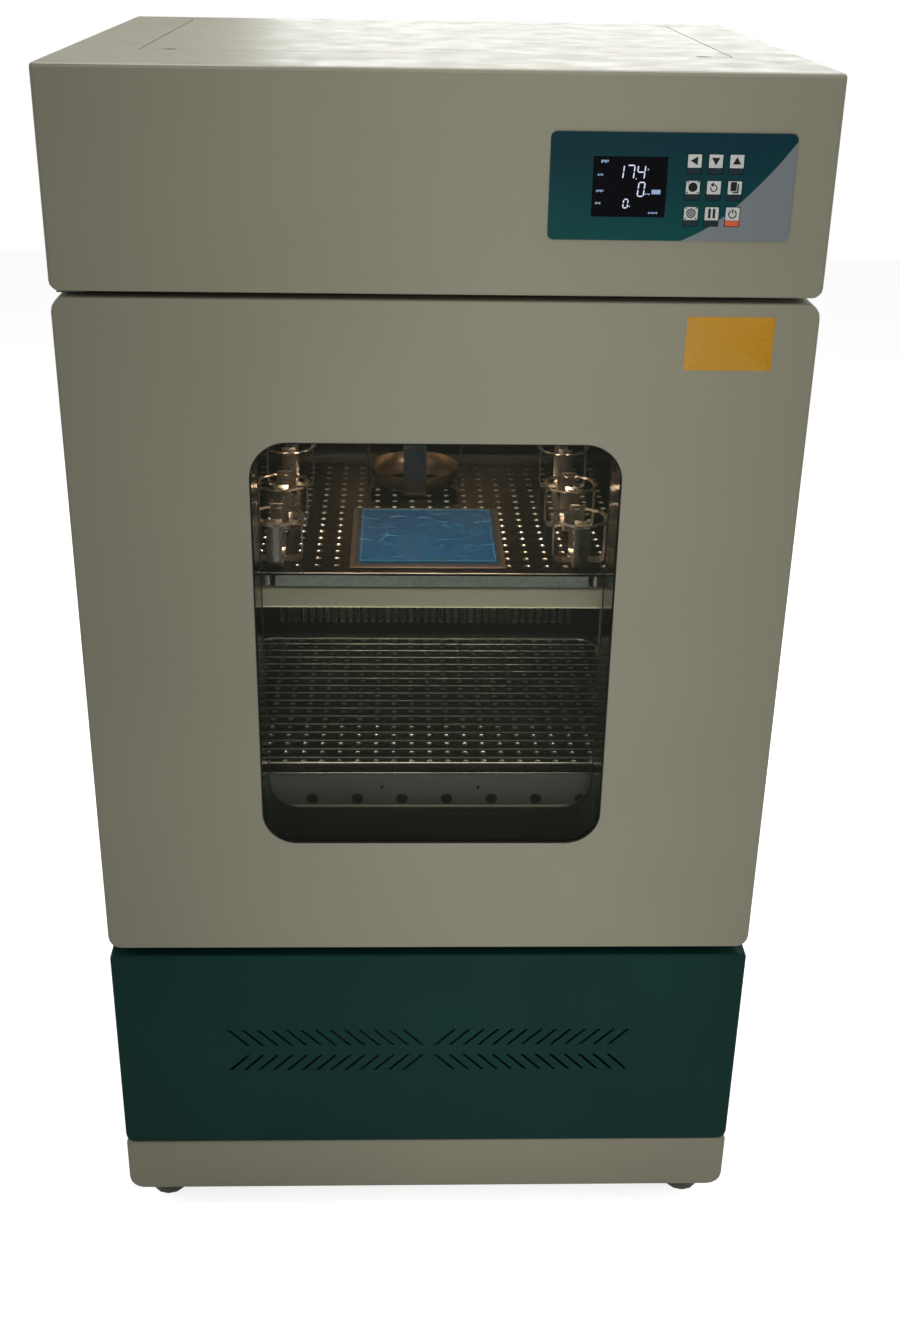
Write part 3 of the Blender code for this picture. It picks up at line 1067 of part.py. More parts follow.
def build_machine_bay():
    """Compressor and condenser on the deck behind the skirt."""
    x, y = COMPRESSOR_AT
    radius, height = COMPRESSOR_RADIUS, COMPRESSOR_HEIGHT
    profile = [(0.0, height)]
    dome = COMPRESSOR_DOME
    profile += [(radius * math.sin(a), height - dome + dome * math.cos(a)) for a in (0.5, 1.0, 1.3, math.pi / 2)]
    profile += [(radius, 0.015), (radius * 1.1, 0.012), (radius * 1.1, 0.0), (0.0, 0.0)]
    piece("compressor", turned(profile, Matrix.Translation((x, y, PLINTH_TOP)), 20), "machine_black")
    x, y = CONDENSER_AT
    width, depth, height = CONDENSER_SIZE
    near, far = y - depth / 2, y + depth / 2
    block = finned_block(x - width / 2, x + width / 2, near, far, PLINTH_TOP, PLINTH_TOP + height)
    piece("condenser", block, "machine_black")


def build_casters():
    """Four swivelling casters that hang just clear of the floor while the feet carry the cabinet."""
    axle_z = WHEEL_RADIUS + WHEEL_CLEARANCE
    top = DECK_TOP - DECK - SEAT
    cheek_reach = FORK_PLATE_RADIUS * 0.7
    number = 0
    for x in (-CASTER_X, CASTER_X):
        for y in (-CASTER_Y, CASTER_Y):
            number += 1
            wheel_y = y + CASTER_TRAIL
            fork = piece(f"caster_fork_{number}", cylinder(FORK_PLATE_RADIUS, top - FORK_PLATE, top, (x, y), 16),
                         "zinc_steel", (x, y, 0.0))
            gap = WHEEL_WIDTH / 2 + WHEEL_SIDE_GAP
            for side in (-1, 1):
                inner, outer = sorted((side * gap, side * (gap + FORK_WALL)))
                cheek = [
                    (y - cheek_reach, top - FORK_PLATE / 2), (y + cheek_reach, top - FORK_PLATE / 2),
                    (wheel_y + 0.010, axle_z - 0.006), (wheel_y - 0.010, axle_z - 0.006),
                ]
                stand = Matrix(((0, 0, 1, x + (inner + outer) / 2), (1, 0, 0, 0), (0, 1, 0, 0), (0, 0, 0, 1)))
                fuse(fork, extruded([cheek], FORK_WALL, stand))
            across = Matrix.Translation((x, wheel_y, axle_z)) @ Matrix.Rotation(math.pi / 2, 4, "Y")
            reach = gap + FORK_WALL + OVERLAP
            axle = [(0.0, reach), (AXLE_RADIUS, reach), (AXLE_RADIUS, -reach), (0.0, -reach)]
            fuse(fork, turned(axle, across, 10))
            half, bore = WHEEL_WIDTH / 2, AXLE_RADIUS + RUNNING_GAP
            rim = WHEEL_RADIUS - WHEEL_EDGE
            profile = [
                (bore, half), (rim, half), (WHEEL_RADIUS, half - WHEEL_EDGE), (WHEEL_RADIUS, -half + WHEEL_EDGE),
                (rim, -half), (bore, -half), (bore, half),
            ]
            piece(f"caster_wheel_{number}", turned(profile, across, 16), "caster_tyre", (x, wheel_y, axle_z))


build_cabinet()
build_skirt()
build_chamber()
build_fan()
build_door()
build_controls()
build_drive()
build_rack()
build_load()
build_machine_bay()
build_casters()
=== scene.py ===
"""Looks of a floor-standing double-layer shaking incubator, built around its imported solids.

Metres, +Z up, the door facing -Y. Each sub-assembly is a class that models and dresses its own pieces.
"""

import logging
import math
from dataclasses import dataclass
from enum import Enum
from typing import Any, Iterable, Sequence

import bmesh
import bpy
import numpy as np
from mathutils import Matrix, Vector


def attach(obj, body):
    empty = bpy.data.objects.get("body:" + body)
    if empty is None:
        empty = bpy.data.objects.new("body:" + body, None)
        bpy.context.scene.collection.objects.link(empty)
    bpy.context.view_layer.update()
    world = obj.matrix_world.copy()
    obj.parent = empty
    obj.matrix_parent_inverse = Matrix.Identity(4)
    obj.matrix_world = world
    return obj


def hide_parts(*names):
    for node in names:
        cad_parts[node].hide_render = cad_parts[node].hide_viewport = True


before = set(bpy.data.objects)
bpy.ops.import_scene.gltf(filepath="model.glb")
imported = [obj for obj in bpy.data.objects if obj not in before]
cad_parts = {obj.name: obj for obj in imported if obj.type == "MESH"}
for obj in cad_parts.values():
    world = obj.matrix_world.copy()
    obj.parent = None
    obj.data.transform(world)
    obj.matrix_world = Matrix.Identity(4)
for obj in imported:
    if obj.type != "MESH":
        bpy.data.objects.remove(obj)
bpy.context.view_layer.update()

Array = np.ndarray
Point = tuple[float, float, float]
LOG = logging.getLogger("shaking_incubator")
MM = 0.001


# Colour and material tools


def linear(code: str, alpha: float = 1.0) -> tuple[float, float, float, float]:
    """Turn an sRGB hex colour into the linear values that a shader takes.

    Args:
        code: The colour as six hex digits after a hash.
        alpha: The opacity that goes with it.

    Returns:
        Red, green, blue and alpha.
    """
    parts = [int(code[i : i + 2], 16) / 255 for i in (1, 3, 5)]
    red, green, blue = (c / 12.92 if c <= 0.04045 else ((c + 0.055) / 1.055) ** 2.4 for c in parts)
    return red, green, blue, alpha


class Recipe:
    """A material's node tree while it is being written."""

    def __init__(self, name: str) -> None:
        """Start an empty Principled material.

        Args:
            name: The finish's name.
        """
        self.material = bpy.data.materials.new(name)
        self.material.use_nodes = True
        self.tree = self.material.node_tree
        self.shader = self.tree.nodes["Principled BSDF"]
        self.coordinates = self.node("ShaderNodeTexCoord").outputs["Object"]

    def node(self, kind: str, links: dict[Any, Any] | None = None, **settings: Any) -> bpy.types.Node:
        """Add one node with its settings and the sockets or values that feed it.

        Args:
            kind: Blender's name for the node.
            links: Input name or index to a socket or a plain value.
            settings: Properties of the node itself.

        Returns:
            The new node.
        """
        made = self.tree.nodes.new(kind)
        for key, value in settings.items():
            setattr(made, key, value)
        for key, value in (links or {}).items():
            if isinstance(value, bpy.types.NodeSocket):
                self.tree.links.new(value, made.inputs[key])
            else:
                made.inputs[key].default_value = value
        return made

    def feed(self, socket: str, value: Any) -> None:
        """Set or link one input of the shader.

        Args:
            socket: The input's name.
            value: A plain value or the socket that feeds it.
        """
        if isinstance(value, bpy.types.NodeSocket):
            self.tree.links.new(value, self.shader.inputs[socket])
        else:
            self.shader.inputs[socket].default_value = value

    def noise(self, size: float, detail: float = 2.0,
              stretch: Point = (1.0, 1.0, 1.0)) -> bpy.types.NodeSocket:
        """Noise whose grains are about one real size across.

        Args:
            size: The grain in metres.
            detail: Octaves of finer noise.
            stretch: How much longer the grain is along each axis.

        Returns:
            The noise value, 0 to 1.
        """
        scale = tuple(1.0 / s for s in stretch)
        place = self.node("ShaderNodeMapping", {"Vector": self.coordinates, "Scale": scale})
        grain = {"Vector": place.outputs[0], "Scale": 1.0 / size, "Detail": detail}
        made = self.node("ShaderNodeTexNoise", grain)
        return made.outputs[0]

    def between(self, factor: bpy.types.NodeSocket, low: Any, high: Any) -> bpy.types.NodeSocket:
        """Blend two colours by a factor.

        Args:
            factor: The socket that chooses, 0 to 1.
            low: The colour or socket at 0.
            high: The colour or socket at 1.

        Returns:
            The colour socket.
        """
        made = self.node("ShaderNodeMix", {0: factor}, data_type="RGBA")
        for index, value in ((6, low), (7, high)):
            if isinstance(value, bpy.types.NodeSocket):
                self.tree.links.new(value, made.inputs[index])
            else:
                made.inputs[index].default_value = value
        return made.outputs[2]

    def ranged(self, value: bpy.types.NodeSocket, low: float, high: float, start: float = 0.3,
               end: float = 0.7) -> bpy.types.NodeSocket:
        """Map a noise value to a range.

        Args:
            value: The socket to map.
            low: The result at the start.
            high: The result at the end.
            start: The value that gives low.
            end: The value that gives high.

        Returns:
            The mapped socket.
        """
        links = {"Value": value, "From Min": start, "From Max": end, "To Min": low, "To Max": high}
        return self.node("ShaderNodeMapRange", links).outputs[0]

    def bump(self, height: bpy.types.NodeSocket, depth: float, strength: float = 1.0) -> None:
        """Raise the surface by a height map.

        Args:
            height: The height socket, 0 to 1.
            depth: The real height in metres.
            strength: How strongly it turns the normal.
        """
        links = {"Height": height, "Distance": depth, "Strength": strength}
        self.feed("Normal", self.node("ShaderNodeBump", links).outputs[0])


@dataclass(frozen=True)
class PowderCoat:
    """Polyester powder coat on sheet steel: a satin film with fine orange peel and faint handling marks."""

    name: str
    colour: str
    shade: str
    roughness: float = 0.40
    peel: float = 1.1 * MM
    cloud: float = 0.18
    shine: float = 0.35

    def make(self) -> bpy.types.Material:
        """Write the material: slow clouds of tone over a fine orange-peel bump."""
        recipe = Recipe(self.name)
        cloud = recipe.ranged(recipe.noise(self.cloud, 2.0), 0.0, 1.0, 0.2, 0.8)
        recipe.feed("Base Color", recipe.between(cloud, linear(self.shade), linear(self.colour)))
        smear = recipe.noise(0.035, 4.0, (1.0, 1.0, 3.0))
        recipe.feed("Roughness", recipe.ranged(smear, self.roughness - 0.05, self.roughness + 0.07))
        recipe.feed("Specular IOR Level", self.shine)
        recipe.bump(recipe.noise(self.peel, 1.0), 0.02 * MM, 0.35)
        return recipe.material


@dataclass(frozen=True)
class RolledSteel:
    """Rolled stainless sheet or strip: fine grain lines and soft smudges."""

    name: str
    colour: str
    shade: str
    roughness: float = 0.22
    grain: float = 0.5 * MM
    run: Point = (60.0, 1.0, 1.0)

    def make(self) -> bpy.types.Material:
        """Write the material: smudged tone, and grain along the rolling direction in gloss and bump."""
        recipe = Recipe(self.name)
        lines = recipe.noise(self.grain, 2.0, self.run)
        smudge = recipe.ranged(recipe.noise(0.05, 3.0), 0.0, 1.0)
        recipe.feed("Base Color", recipe.between(smudge, linear(self.shade), linear(self.colour)))
        recipe.feed("Metallic", 1.0)
        recipe.feed("Roughness", recipe.ranged(lines, self.roughness - 0.04, self.roughness + 0.05))
        recipe.bump(lines, 0.003 * MM, 0.12)
        return recipe.material


@dataclass(frozen=True)
class Moulded:
    """Moulded plastic, rubber, enamel or film: one tone with a fine moulded grain."""

    name: str
    colour: str
    shade: str
    roughness: float = 0.5
    grain: float = 0.8 * MM
    relief: float = 0.02 * MM
    metallic: float = 0.0
    shine: float = 0.5

    def make(self) -> bpy.types.Material:
        """Write the material: speckled tone, uneven gloss and a fine grain bump."""
        recipe = Recipe(self.name)
        speck = recipe.ranged(recipe.noise(self.grain * 6, 3.0), 0.0, 1.0)
        recipe.feed("Base Color", recipe.between(speck, linear(self.shade), linear(self.colour)))
        recipe.feed("Metallic", self.metallic)
        gloss = recipe.ranged(recipe.noise(0.02, 3.0), self.roughness - 0.05, self.roughness + 0.06)
        recipe.feed("Roughness", gloss)
        recipe.feed("Specular IOR Level", self.shine)
        recipe.bump(recipe.noise(self.grain, 1.0), self.relief, 0.3)
        return recipe.material


@dataclass(frozen=True)
class Pane:
    """A clear sheet, glass or film, with a faint smear of handling on its face."""

    name: str
    colour: str
    roughness: float = 0.02
    alpha: float = 0.10

    def make(self) -> bpy.types.Material:
        """Write the material: mostly see-through, glossy, with smeared roughness."""
        recipe = Recipe(self.name)
        smear = recipe.noise(0.06, 4.0, (1.0, 1.0, 2.5))
        recipe.feed("Base Color", linear(self.colour))
        recipe.feed("Roughness", recipe.ranged(smear, self.roughness, self.roughness + 0.05))
        recipe.feed("Alpha", self.alpha)
        recipe.feed("IOR", 1.5)
        return recipe.material


@dataclass(frozen=True)
class PrintedOverlay:
    """Reverse-printed polycarbonate film: teal that darkens upwards, grey under a bent diagonal."""

    name: str
    teal: str = "#054744"
    upper: str = "#0a323a"
    field_colour: str = "#757c7d"
    low: float = 1.2635
    high: float = 1.3665
    edge_low: float = 0.240
    edge_high: float = 0.3535

    def make(self) -> bpy.types.Material:
        """Write the material: the grey field lies where x passes a line that leans and bends with z."""
        recipe = Recipe(self.name)
        x, _, z = recipe.node("ShaderNodeSeparateXYZ", {0: recipe.coordinates}).outputs[:]
        span = {"Value": z, "From Min": self.low, "From Max": self.high}
        height = recipe.node("ShaderNodeMapRange", span).outputs[0]
        bend = recipe.node("ShaderNodeFloatCurve", {"Value": height})
        curve = bend.mapping.curves[0]
        curve.points[0].location = (0.0, 0.0)
        curve.points[-1].location = (1.0, 1.0)
        # Two points bow the diagonal outwards near its foot
        curve.points.new(0.15, 0.26)
        curve.points.new(0.45, 0.58)
        bend.mapping.update()
        lean = {"Value": bend.outputs[0], "To Min": self.edge_low, "To Max": self.edge_high}
        edge = recipe.node("ShaderNodeMapRange", lean).outputs[0]
        over = recipe.node("ShaderNodeMath", {0: x, 1: edge}, operation="GREATER_THAN").outputs[0]
        wave = recipe.ranged(recipe.noise(0.04, 3.0), 0.0, 0.25)
        fade = recipe.node("ShaderNodeMath", {0: height, 1: wave}, operation="ADD", use_clamp=True).outputs[0]
        ground = recipe.between(fade, linear(self.teal), linear(self.upper))
        recipe.feed("Base Color", recipe.between(over, ground, linear(self.field_colour)))
        recipe.feed("Roughness", recipe.ranged(recipe.noise(0.02, 3.0), 0.34, 0.42))
        recipe.feed("Specular IOR Level", 0.15)
        recipe.bump(recipe.noise(0.35 * MM, 1.0), 0.01 * MM, 0.3)
        return recipe.material


@dataclass(frozen=True)
class Glow:
    """A lit face, such as display strokes or a lamp's lens, a little uneven."""

    name: str
    colour: str
    strength: float

    def make(self) -> bpy.types.Material:
        """Write the material: a pale stroke whose own light varies with fine noise."""
        recipe = Recipe(self.name)
        recipe.feed("Base Color", linear("#20242c"))
        recipe.feed("Emission Color", linear(self.colour))
        flicker = recipe.ranged(recipe.noise(1.5 * MM, 2.0), self.strength * 0.85, self.strength * 1.1)
        recipe.feed("Emission Strength", flicker)
        recipe.feed("Roughness", 0.3)
        return recipe.material


class Finish(Enum):
    """Every finish on the cabinet, each named for the real material and, where it stands in for light or
    shade, for the painted light too.
    """

    # Polyester powder on folded steel: satin, with fine orange peel that softens every highlight
    # The body's warm grey is darker than the real light grey-beige paint: painted shade of the backlit front
    BODY = PowderCoat("warm_grey_powder_coat_painted_shade", "#8f8c78", "#8b8875")
    SKIRT = PowderCoat("dark_teal_powder_coat", "#0d3631", "#0b302c", 0.42, shine=0.12)
    RACK_PAINT = PowderCoat("rack_grey_powder_coat", "#a5a287", "#98957c", 0.38)
    CORE = PowderCoat("frame_grey_powder_coat", "#6b6e62", "#5f6257", 0.45)
    # Rolled stainless: long grain lines that stretch a reflection along the sheet
    STAINLESS = RolledSteel("rolled_stainless", "#8d8780", "#6c665f", 0.30)
    # Liner and platform steel are darker copies of the stainless above: painted shade of the dim chamber
    LINER = RolledSteel("chamber_liner_steel_painted_shade", "#4c463d", "#3a352d", 0.24)
    PLATFORM = RolledSteel("platform_steel_painted_shade", "#4d473f", "#3a352e", 0.26, 0.25 * MM, (120.0, 1.0, 1.0))
    # Spring strip and a polished bowl: bright, with short even grain and a soft glint. The same bright steel
    # also serves as painted highlight on hole and slot rims and on the platforms' front edges
    SPRING_AND_HIGHLIGHT = RolledSteel("spring_steel_and_painted_highlight", "#e0dace", "#c6bfb2", 0.30, 0.4 * MM, (8.0, 8.0, 8.0))
    PETAL = RolledSteel("bright_bowl_steel", "#dccdb4", "#8f7c64", 0.34, 2.0 * MM, (1.0, 6.0, 1.0))
    # Drawn, brushed, plated and machined metal: even grain with no direction, a soft glint
    WIRE = Moulded("drawn_spring_wire", "#dcd8cb", "#c6c2b5", 0.34, grain=0.8 * MM, relief=0.001 * MM,
                   metallic=1.0)
    # The lip's pale grey-green is a painted reflection on the mirror-like strip under the upper platform
    LIP = Moulded("lip_steel_painted_reflection", "#8f9588", "#7c8276", 0.36, metallic=0.4)
    SPACER = Moulded("dark_pane_spacer", "#3f4238", "#34372e", 0.16, relief=0.001 * MM, metallic=0.9)
    ZINC = Moulded("zinc_plate", "#9a9da0", "#83868a", 0.42, metallic=1.0)
    ALLOY = Moulded("machined_alloy", "#a9abad", "#8f9193", 0.38, metallic=1.0)
    TRAY = Moulded("grey_brown_tray", "#6f675d", "#5c544b", 0.35, metallic=0.6)
    # Enamel, nylon and rubber: near black, from a low gloss to none
    ENAMEL = Moulded("black_enamel", "#1d1e20", "#151617", 0.40)
    NYLON = Moulded("black_nylon", "#191a1b", "#121314", 0.50)
    RUBBER = Moulded("seal_rubber", "#222223", "#1a1a1b", 0.70, shine=0.2)
    TYRE = Moulded("caster_rubber", "#3a3a3b", "#303031", 0.70)
    # Solder mask over glass cloth: green, with the weave just felt in its gloss
    BOARD = Moulded("solder_mask", "#1d5a36", "#174a2c", 0.45)
    # Screen-printed films: flat colour under a matt face that hides fingerprints
    OVERLAY = PrintedOverlay("printed_overlay_film")
    KEY = Moulded("white_key_film", "#c6c8c2", "#bbbdb7", 0.42, grain=0.5 * MM)
    KEY_ORANGE = Moulded("orange_key_film", "#d8603a", "#c9552f", 0.42, grain=0.5 * MM)
    ICON = Moulded("black_print", "#16181a", "#101214", 0.45, grain=0.5 * MM)
    LABEL = Moulded("amber_label_film", "#c48f1c", "#b88515", 0.40, grain=0.6 * MM)
    LABEL_STRIP = Moulded("dark_label_print", "#12262c", "#0f2026", 0.45, grain=0.5 * MM)
    # Backlit strokes and the lamp's lens: their own light, a little uneven
    LIT = Glow("lit_segments", "#e2e8ff", 1.0)
    LIT_SOFT = Glow("lit_small_marks", "#a9c4ee", 0.7)
    LAMP = Glow("lamp_lens", "#ffe9cf", 2.2)
    LENS = Moulded("black_lens", "#07070e", "#05050a", 0.14, grain=2.0 * MM, relief=0.002 * MM, shine=0.2)
    # Tacky gel mat under thin film: deep blue, with pale lines along the film's creases that are painted
    # highlight for the film's glints
    MAT = Moulded("blue_tacky_mat", "#0666a4", "#04558a", 0.42, grain=3.0 * MM, relief=0.05 * MM, shine=0.2)
    FILM = Pane("clear_crinkled_film", "#1c3a50", 0.06, 0.25)
    CREASE_GLINT = Moulded("film_crease_painted_glint", "#5e9cc0", "#3f82aa", 0.22)
    # Tempered soda-lime pane: almost all see-through, with a faint veil of dust
    GLASS = Pane("tempered_glass", "#6f7668", alpha=0.022)


MADE: dict[str, bpy.types.Material] = {}


def finish(choice: Finish) -> bpy.types.Material:
    """Give the material of a finish, writing it the first time."""
    if choice.name not in MADE:
        MADE[choice.name] = choice.value.make()
    return MADE[choice.name]


# Surface tools


class Skin:
    """Grids of points gathered into one mesh object."""

    def __init__(self) -> None:
        """Start with no points."""
        self.points: list[Array] = []
        self.faces: list[Array] = []
        self.slots: list[Array] = []
        self.count = 0

    def add(self, points: Array, faces: Array, slot: int | Array = 0) -> None:
        """Add points and the quads or triangles between them.

        Args:
            points: Points as rows of x, y, z.
            faces: Point numbers, one row a face.
            slot: The material slot of these faces, or one for each.
        """
        self.points.append(points.reshape(-1, 3))
        self.faces.append(faces + self.count)
        self.slots.append(np.full(len(faces), slot))
        self.count += len(self.points[-1])

    def grid(self, points: Array, wrap_rows: bool = False, wrap_columns: bool = False, slot: int = 0) -> None:
        """Add a grid of points as quads; a wrapped direction joins its last line to its first.

        Args:
            points: Rows by columns by 3.
            wrap_rows: Whether the last row meets the first.
            wrap_columns: Whether the last column meets the first.
            slot: The material slot.
        """
        rows, columns = points.shape[:2]
        index = np.arange(rows * columns).reshape(rows, columns)
        down = np.roll(index, -1, 0) if wrap_rows else index[1:]
        here = index if wrap_rows else index[:-1]
        if wrap_columns:
            here_next, down_next = np.roll(here, -1, 1), np.roll(down, -1, 1)
        else:
            here, here_next, down, down_next = here[:, :-1], here[:, 1:], down[:, :-1], down[:, 1:]
        quads = np.stack([here, here_next, down_next, down], -1).reshape(-1, 4)
        self.add(points, quads, slot)

    def rings(self, points: Array, cap_first: bool = True, cap_last: bool = True, slot: int = 0) -> None:
        """Add closed rings joined in order, with fans of triangles over the ends.

        Args:
            points: Rings by points by 3.
            cap_first: Whether the first ring is filled.
            cap_last: Whether the last ring is filled.
            slot: The material slot.
        """
        self.grid(points, wrap_columns=True, slot=slot)
        sides = points.shape[1]
        around = np.arange(sides)
        for ring, wanted, flip in ((points[0], cap_first, True), (points[-1], cap_last, False)):
            if wanted:
                centre = np.full(sides, sides)
                order = (np.roll(around, -1), around) if flip else (around, np.roll(around, -1))
                fan = np.stack([order[0], order[1], centre], -1)
                self.add(np.vstack([ring, ring.mean(0)]), fan, slot)

    def box(self, low: Point, high: Point, slot: int = 0, radius: float = 0.0) -> None:
        """Add a box, with its upright edges and its top and bottom rims eased when a radius is given.

        Args:
            low: Lowest corner.
            high: Highest corner.
            slot: The material slot.
            radius: The easing radius.
        """
        outline = rounded_outline(low[0], low[1], high[0], high[1], max(radius, 1e-5), 2 if radius else 1)
        middle = np.array([(low[0] + high[0]) / 2, (low[1] + high[1]) / 2])
        size = np.array([high[0] - low[0], high[1] - low[1]])
        shrink = 1 - 2 * np.minimum(radius, size / 3) / size
        inner = (outline - middle) * shrink + middle
        levels = [(inner, low[2]), (outline, low[2] + radius), (outline, high[2] - radius), (inner, high[2])]
        if not radius:
            levels = [(outline, low[2]), (outline, high[2])]
        self.rings(np.stack([at_height(loop, z) for loop, z in levels]), slot=slot)

    def turned(self, profile: Sequence[tuple[float, float]], place: Matrix | None = None, sides: int = 24,
               slot: int = 0, closed: bool = False) -> None:
        """Revolve a (radius, height) profile about Z and place it.

        Args:
            profile: Points from one end of the outer side to the other.
            place: Where the axis goes.
            sides: Steps around.
            slot: The material slot.
            closed: Whether the profile is a loop, as on a ring.
        """
        angles = np.linspace(0, 2 * np.pi, sides, endpoint=False)
        radius, height = np.array(profile).T
        around = np.stack([np.cos(angles), np.sin(angles)], -1)
        flat = radius[:, None, None] * around[None]
        points = np.concatenate([flat, np.broadcast_to(height[:, None, None], (len(height), sides, 1))], -1)
        points = placed(points, place)
        if closed:
            self.grid(points, wrap_rows=True, wrap_columns=True, slot=slot)
        else:
            self.rings(points, slot=slot)

    def tube(self, path: Array, radius: float, sides: int = 8, closed: bool = False, slot: int = 0) -> None:
        """Carry a circle along a path, its frame kept upright.

        Args:
            path: Points as rows.
            radius: The tube's radius.
            sides: Steps around.
            closed: Whether the path is a loop.
            slot: The material slot.
        """
        self.sweep(path, circle_outline(radius, sides), closed, slot)

    def sweep(self, path: Array, profile: Array, closed: bool = False, slot: int = 0,
              up: Point = (0, 0, 1)) -> None:
        """Carry a flat profile along a path, its second axis kept near an upward direction.

        Args:
            path: Points as rows.
            profile: Outline in the plane across the path.
            closed: Whether the path is a loop.
            slot: The material slot.
            up: The direction that the profile's second axis follows.
        """
        ahead = (np.roll(path, -1, 0) if closed else np.vstack([path[1:], 2 * path[-1] - path[-2]])) - path
        behind = path - (np.roll(path, 1, 0) if closed else np.vstack([2 * path[0] - path[1], path[:-1]]))
        along = unit(unit(ahead) + unit(behind))
        side = unit(np.cross(along, np.array(up, float)))
        rise = np.cross(side, along)
        points = path[:, None] + profile[None, :, :1] * side[:, None] + profile[None, :, 1:] * rise[:, None]
        if closed:
            self.grid(points, wrap_rows=True, wrap_columns=True, slot=slot)
        else:
            self.rings(points, slot=slot)

    def bar(self, start: Point, end: Point, width: float, height: float, radius: float, slot: int = 0,
            up: Point = (0, 0, 1)) -> None:
        """Add a straight bar whose long edges are rounded.

        Args:
            start: Middle of one end.
            end: Middle of the other end.
            width: Size across.
            height: Size along the upward direction.
            radius: Radius of the long edges.
            slot: The material slot.
            up: The direction of its height.
        """
        profile = rounded_outline(-width / 2, -height / 2, width / 2, height / 2, radius, 3)
        self.sweep(np.linspace(start, end, 2), profile, slot=slot, up=up)

    def perforated(self, columns: int, rows: int, pitch: tuple[float, float], radius: float, thickness: float,
                   place: Matrix, size: tuple[float, float], edge: float = 0.5 * MM, long: float = 0.0,
                   rim_slot: int = 0) -> None:
        """Add a sheet with a grid of holes, each with an eased rim, and a plain border out to its edges.

        Every hole is one cell: loops of sixteen points run from the cell's square outline in to the rim,
        down the wall and out again underneath. A slot is the same loop pulled apart along the second axis.

        Args:
            columns: Holes along the first axis.
            rows: Holes along the second axis.
            pitch: Distance between holes along each axis.
            radius: Radius of a hole.
            thickness: The sheet's thickness.
            place: Where the middle of the sheet's upper face goes.
            size: The sheet's own width and depth.
            edge: Easing of each rim.
            long: Extra length of each hole along the second axis.
            rim_slot: The material slot of the rims and walls; the sheet itself takes slot 0.
        """
        sides = 16
        corner = np.radians(np.arange(sides) * 360.0 / sides)
        circle = np.column_stack([np.cos(corner), np.sin(corner)])
        square = circle / np.abs(circle).max(1, keepdims=True) * np.array(pitch) / 2
        pull = np.column_stack([np.zeros(sides), np.where(circle[:, 1] > -1e-9, long / 2, -long / 2)])
        rim, hole = circle * (radius + edge) + pull, circle * radius + pull
        loops = ((square, 0.0), (rim, 0.0), (hole, -edge), (hole, -thickness), (square, -thickness))
        cell = np.stack([at_height(loop, z) for loop, z in loops])
        index = np.arange(len(loops) * sides).reshape(len(loops), sides)
        faces = np.stack([index[:-1], np.roll(index[:-1], -1, 1), np.roll(index[1:], -1, 1), index[1:]], -1)
        x = (np.arange(columns) - (columns - 1) / 2) * pitch[0]
        y = (np.arange(rows) - (rows - 1) / 2) * pitch[1]
        middles = np.stack([*np.meshgrid(x, y), np.zeros((rows, columns))], -1).reshape(-1, 1, 3)
        points = placed((cell.reshape(1, index.size, 3) + middles).reshape(-1, 3), place)
        steps = np.arange(columns * rows)[:, None, None] * index.size
        slots = np.tile(np.repeat([0, rim_slot, rim_slot, 0], sides), columns * rows)
        self.add(points, (faces.reshape(1, -1, 4) + steps).reshape(-1, 4), slots)
        wide, deep = columns * pitch[0] / 2, rows * pitch[1] / 2
        inner = rounded_outline(-wide, -deep, wide, deep, 1e-6, 2)
        outer = rounded_outline(-size[0] / 2, -size[1] / 2, size[0] / 2, size[1] / 2, edge, 2)
        border = ((inner, 0.0), (outer * (1 - edge), 0.0), (outer, -edge), (outer, -thickness),
                  (inner, -thickness))
        section = np.stack([at_height(loop, z) for loop, z in border])
        self.grid(placed(section, place), wrap_columns=True)

    def build(self, name: str, finishes: Sequence[Finish], smooth: float = 35.0) -> bpy.types.Object:
        """Make the mesh object at the origin with its normals outwards.

        Args:
            name: The piece's name.
            finishes: One finish for each slot.
            smooth: Edges sharper than this many degrees stay sharp.

        Returns:
            The new object.
        """
        mesh = bpy.data.meshes.new(name)
        faces = [row for block in self.faces for row in block.tolist()]
        mesh.from_pydata(np.vstack(self.points), [], faces)
        mesh.polygons.foreach_set("material_index", np.concatenate(self.slots).astype(np.int32))
        return dressed(name, mesh, finishes, smooth)


def unit(vectors: Array) -> Array:
    """Scale each row to length one."""
    return vectors / np.maximum(np.linalg.norm(vectors, axis=-1, keepdims=True), 1e-12)


def placed(points: Array, place: Matrix | None) -> Array:
    """Move points of any array shape by a matrix."""
    if place is None:
        return points
    whole = np.array(place)
    return points @ whole[:3, :3].T + whole[:3, 3]


def at_height(outline: Array, z: float) -> Array:
    """Lay a flat outline in the XY plane at a height."""
    return np.column_stack([outline, np.full(len(outline), z)])


def at_depth(outline: Array, y: float) -> Array:
    """Stand a flat outline in the XZ plane at a depth."""
    return np.column_stack([outline[:, 0], np.full(len(outline), y), outline[:, 1]])


def circle_outline(radius: float, sides: int, centre: tuple[float, float] = (0.0, 0.0)) -> Array:
    """A circle as a loop of points."""
    angles = np.linspace(0, 2 * np.pi, sides, endpoint=False)
    return np.column_stack([centre[0] + radius * np.cos(angles), centre[1] + radius * np.sin(angles)])


